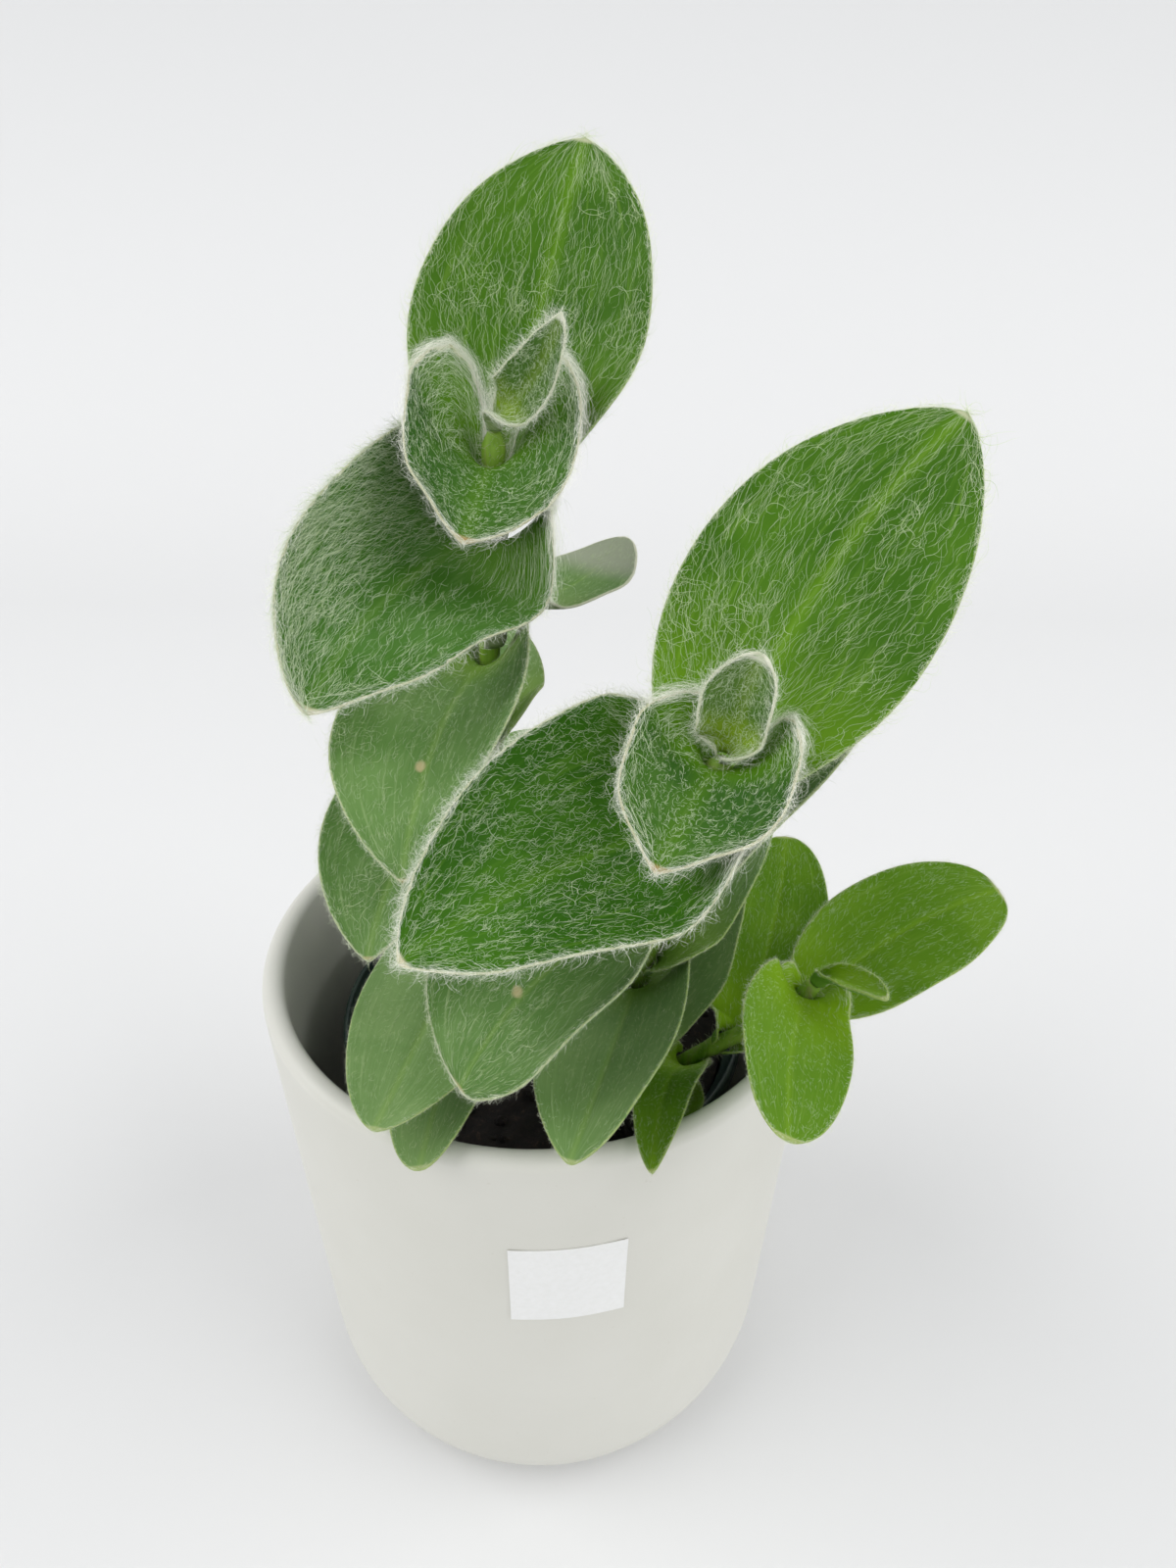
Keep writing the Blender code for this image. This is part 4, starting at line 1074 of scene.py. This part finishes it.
def buildStem(name, node, shoot, skin, wool):
    path = stemPath(shoot)
    form = stemForm
    sides, rings = form["sides"], form["rings"]
    share = np.linspace(0, 1, rings)
    at, knots = share * (len(path) - 1), np.arange(len(path))
    places = np.stack([np.interp(at, knots, path[:, k]) for k in range(3)], 1)
    radius = shoot["radii"][0] + (shoot["radii"][1] - shoot["radii"][0]) * share
    for leaf in shoot["leaves"].values():
        off = (places[:, 2] - leaf["height"] + 3) / form["jointLength"]
        radius = radius + form["joint"] * np.exp(-(off**2))
    radius[[0, -1]] *= form["endShare"]
    flow = unit(np.gradient(places, axis=0))
    first = unit(np.cross(flow, (0, 1, 0)))
    second = np.cross(flow, first)
    turn = np.arange(sides) * math.tau / sides
    out = first[:, None] * np.cos(turn)[:, None] + second[:, None] * np.sin(turn)[:, None]
    points = (places[:, None] + out * radius[:, None, None]).reshape(-1, 3)
    points = np.concatenate([points, places[:1], places[-1:]])
    grid = np.arange(sides * rings).reshape(rings, sides)
    after = np.roll(grid, -1, 1)
    foot, top = len(points) - 2, len(points) - 1
    faces = [*bandFaces(grid[:-1], after[:-1], after[1:], grid[1:]), capFaces(foot, after[0], grid[0])]
    faces.append(capFaces(top, grid[-1], after[-1]))
    finishPiece(newPiece(name, points * mm, np.concatenate(faces), None, skin), "stems", node)
    tall = places[:, 2] > soilTop
    length = (places[-1, 2] - soilTop) * 1.1
    count = int(length * math.tau * shoot["radii"][1] * form["hairs"])
    ring = rng.uniform(np.argmax(tall), rings - 1.01, count)
    k, part = ring.astype(int), ring - ring.astype(int)
    angle = rng.uniform(0, math.tau, count)
    middle = places[k] + (places[k + 1] - places[k]) * part[:, None]
    outwards = first[k] * np.cos(angle)[:, None] + second[k] * np.sin(angle)[:, None]
    root = middle + outwards * radius[k][:, None]
    lean = outwards + flow[k] * rng.normal(*form["hairLean"], (count, 1))
    lean = unit(lean + rng.normal(0, form["hairSpread"], (count, 3)))
    t = np.linspace(0, 1, form["hairSteps"])
    reach = rng.uniform(*form["hairLength"], count)
    hairs = root[:, None] + lean[:, None] * (t[None] * reach[:, None])[..., None]
    hairs = hairs - flow[k][:, None] * (t[None] ** 2 * reach[:, None] * form["hairSag"])[..., None]
    ups = np.broadcast_to(unit(np.cross(outwards, flow[k]))[:, None], hairs.shape)
    widths = form["hairWidth"] * rng.uniform(0.7, 1.1, count)
    finishPiece(hairMesh(f"{node}_hairs", hairs, ups, widths, wool), "stems")


def buildStems():
    skin = stemMaterial()
    wool = hairMaterial("stemHair", "#a4b080", "#cfd5b5", "#e4e6d2", "#e4e6d2")
    for shootName, shoot in shoots.items():
        buildStem(f"{shootName}_shoot_stem", f"{shootName}_stem", shoot, skin, wool)


buildStems()
print("stems done")

# Soil: dark peat, pressed and crumbled, which gives a near-black uneven top with loose crumbs

soilForm = {
    "foot": 7.8, "footRadius": 32.5, "topRadius": 41.68, "rings": 40, "sides": 128, "bump": 1.1,
    "grain": 0.16, "crumbs": 220, "crumbSize": (0.5, 1.9), "crumbRoom": 1.5, "crumbStretch": (0.55, 1.35),
    "crumbDents": (0.78, 1.15), "crumbLift": 0.15,
}


def soilMaterial():
    material, tree, shader = newMaterial("crumbledPeat", {"Roughness": 0.95})
    place = addNode(tree, "TexCoord").outputs["Object"]
    # Grains of about 1.6 mm
    grain = addNode(
        tree, "TexNoise", {"Scale": 620, "Detail": 5, "Roughness": 0.7}, {"Vector": place}
    ).outputs["Fac"]
    tint = addNode(tree, "ValToRGB", links={"Fac": grain})
    setRamp(tint, [(0.35, "#0b0908"), (0.6, "#1d1612"), (0.74, "#4a3b2b")])
    bump = addNode(tree, "Bump", {"Strength": 0.6, "Distance": 0.0008}, {"Height": grain})
    joinUp(tree, shader, {"Base Color": tint.outputs["Color"], "Normal": bump.outputs["Normal"]})
    return material


def soilHeight(x, y):
    waves = 0.6 * np.sin(x * 0.31 + 1.3) * np.cos(y * 0.27 + 0.4) + 0.4 * np.sin(x * 0.83 - y * 0.71 + 2.2)
    return waves * soilForm["bump"] * 0.7


def buildSoil():
    form, skin = soilForm, soilMaterial()
    rings, sides = form["rings"], form["sides"]
    turn = np.arange(sides) * math.tau / sides
    radii = np.linspace(0, form["topRadius"], rings + 1)[1:]
    x, y = radii[:, None] * np.cos(turn), radii[:, None] * np.sin(turn)
    calm = np.clip((rings - 1 - np.arange(rings)) / 4, 0, 1)[:, None]  # level at the pot's wall
    z = soilTop + (soilHeight(x, y) + rng.normal(0, form["grain"], x.shape)) * calm
    foot = form["footRadius"]
    low = np.stack([foot * np.cos(turn), foot * np.sin(turn), np.full(sides, form["foot"])], 1)
    middles = [[0, 0, soilTop + soilHeight(0, 0)], [0, 0, form["foot"]]]
    points = np.concatenate([np.stack([x, y, z], 2).reshape(-1, 3), low, middles])
    grid = np.arange((rings + 1) * sides).reshape(rings + 1, sides)
    after = np.roll(grid, -1, 1)
    faces = bandFaces(grid[:-1], grid[1:], after[1:], after[:-1])
    faces.append(capFaces(len(points) - 2, grid[0], after[0]))
    faces.append(capFaces(len(points) - 1, after[-1], grid[-1]))
    finishPiece(newPiece("peat_soil", points * mm, np.concatenate(faces), None, skin), "soil", "soil")
    bpy.ops.mesh.primitive_ico_sphere_add(subdivisions=2, radius=1)
    ball = bpy.context.object
    shape = np.array([tuple(v.co) for v in ball.data.vertices])
    triangles = np.array([tuple(p.vertices) for p in ball.data.polygons])
    bpy.data.objects.remove(ball)
    crumbs, crumbFaces = [], []
    for k in range(form["crumbs"]):
        distance = (form["topRadius"] - form["crumbRoom"]) * math.sqrt(rng.uniform())
        angle = rng.uniform(0, math.tau)
        size = rng.uniform(*form["crumbSize"]) * (rng.uniform() ** 0.7 + 0.3)
        stretch = rng.uniform(*form["crumbStretch"], 3) * size
        axes, _ = np.linalg.qr(rng.normal(0, 1, (3, 3)))
        lump = shape * rng.uniform(*form["crumbDents"], (len(shape), 1)) * stretch @ axes
        x, y = distance * math.cos(angle), distance * math.sin(angle)
        crumbs.append(lump + np.array((x, y, soilTop + soilHeight(x, y) + size * form["crumbLift"])))
        crumbFaces.append(triangles + k * len(shape))
    points, faces = np.concatenate(crumbs) * mm, np.concatenate(crumbFaces)
    finishPiece(newPiece("peat_crumbs", points, faces, None, skin, smooth=False), "soil")


buildSoil()
print("soil done")

# Label: thin wood-free paper, pressed on by hand, which gives a flat bright white with a faint fibre

labelForm = {
    "width": 22, "height": 22.5, "middle": 90, "turn": -83, "room": 0.03, "thickness": 0.14, "curl": 0.12,
    "curlStart": 0.82, "columns": 24, "rows": 12,
}


def paperMaterial():
    material, tree, shader = newMaterial("pressedPaper", {"Roughness": 0.7})
    place = addNode(tree, "TexCoord").outputs["Object"]
    # Fibres of about 1 mm, coarser than the real ones so that they show
    fibre = addNode(tree, "TexNoise", {"Scale": 900, "Detail": 4}, {"Vector": place}).outputs["Fac"]
    tint = addNode(tree, "ValToRGB", links={"Fac": fibre})
    setRamp(tint, [(0.3, "#eeeeec"), (0.7, "#f2f2f1")])
    bump = addNode(tree, "Bump", {"Strength": 0.1, "Distance": 0.0001}, {"Height": fibre})
    joinUp(tree, shader, {"Base Color": tint.outputs["Color"], "Normal": bump.outputs["Normal"]})
    return material


def buildLabel():
    form, pot = labelForm, planterForm
    columns, rows = form["columns"], form["rows"]
    across, upwards = np.meshgrid(np.linspace(-0.5, 0.5, columns + 1), np.linspace(-0.5, 0.5, rows + 1))
    height = form["middle"] + upwards * form["height"]
    wall = pot["footRadius"] + (pot["rimRadius"] - pot["footRadius"]) * height / pot["height"]
    turn = math.radians(form["turn"]) + across * form["width"] / pot["rimRadius"]
    corner = np.clip(np.abs(across) + np.abs(upwards) - form["curlStart"], 0, 1)
    curl = form["curl"] * corner / (1 - form["curlStart"])  # corners stand off a little
    sheets = []
    for depth in (form["room"], form["room"] + form["thickness"]):
        radius = wall + depth + curl
        sheets.append(np.stack([radius * np.cos(turn), radius * np.sin(turn), height], 2).reshape(-1, 3))
    grid = np.arange((columns + 1) * (rows + 1)).reshape(rows + 1, columns + 1)
    front = np.concatenate(bandFaces(grid[:-1, :-1], grid[:-1, 1:], grid[1:, 1:], grid[1:, :-1]))
    loop = np.concatenate([grid[0, :-1], grid[:-1, -1], grid[-1, :0:-1], grid[:0:-1, 0]])
    after, total = np.roll(loop, -1), grid.size
    edge = [np.stack([loop, after, after + total], 1), np.stack([loop, after + total, loop + total], 1)]
    faces = np.concatenate([front[:, ::-1], front + total, *edge])
    points = np.concatenate(sheets) * mm
    piece = newPiece("bare_paper_label", points, faces, None, paperMaterial(), smooth=False)
    finishPiece(piece, "label", "paper_label")


buildLabel()
print("label done")
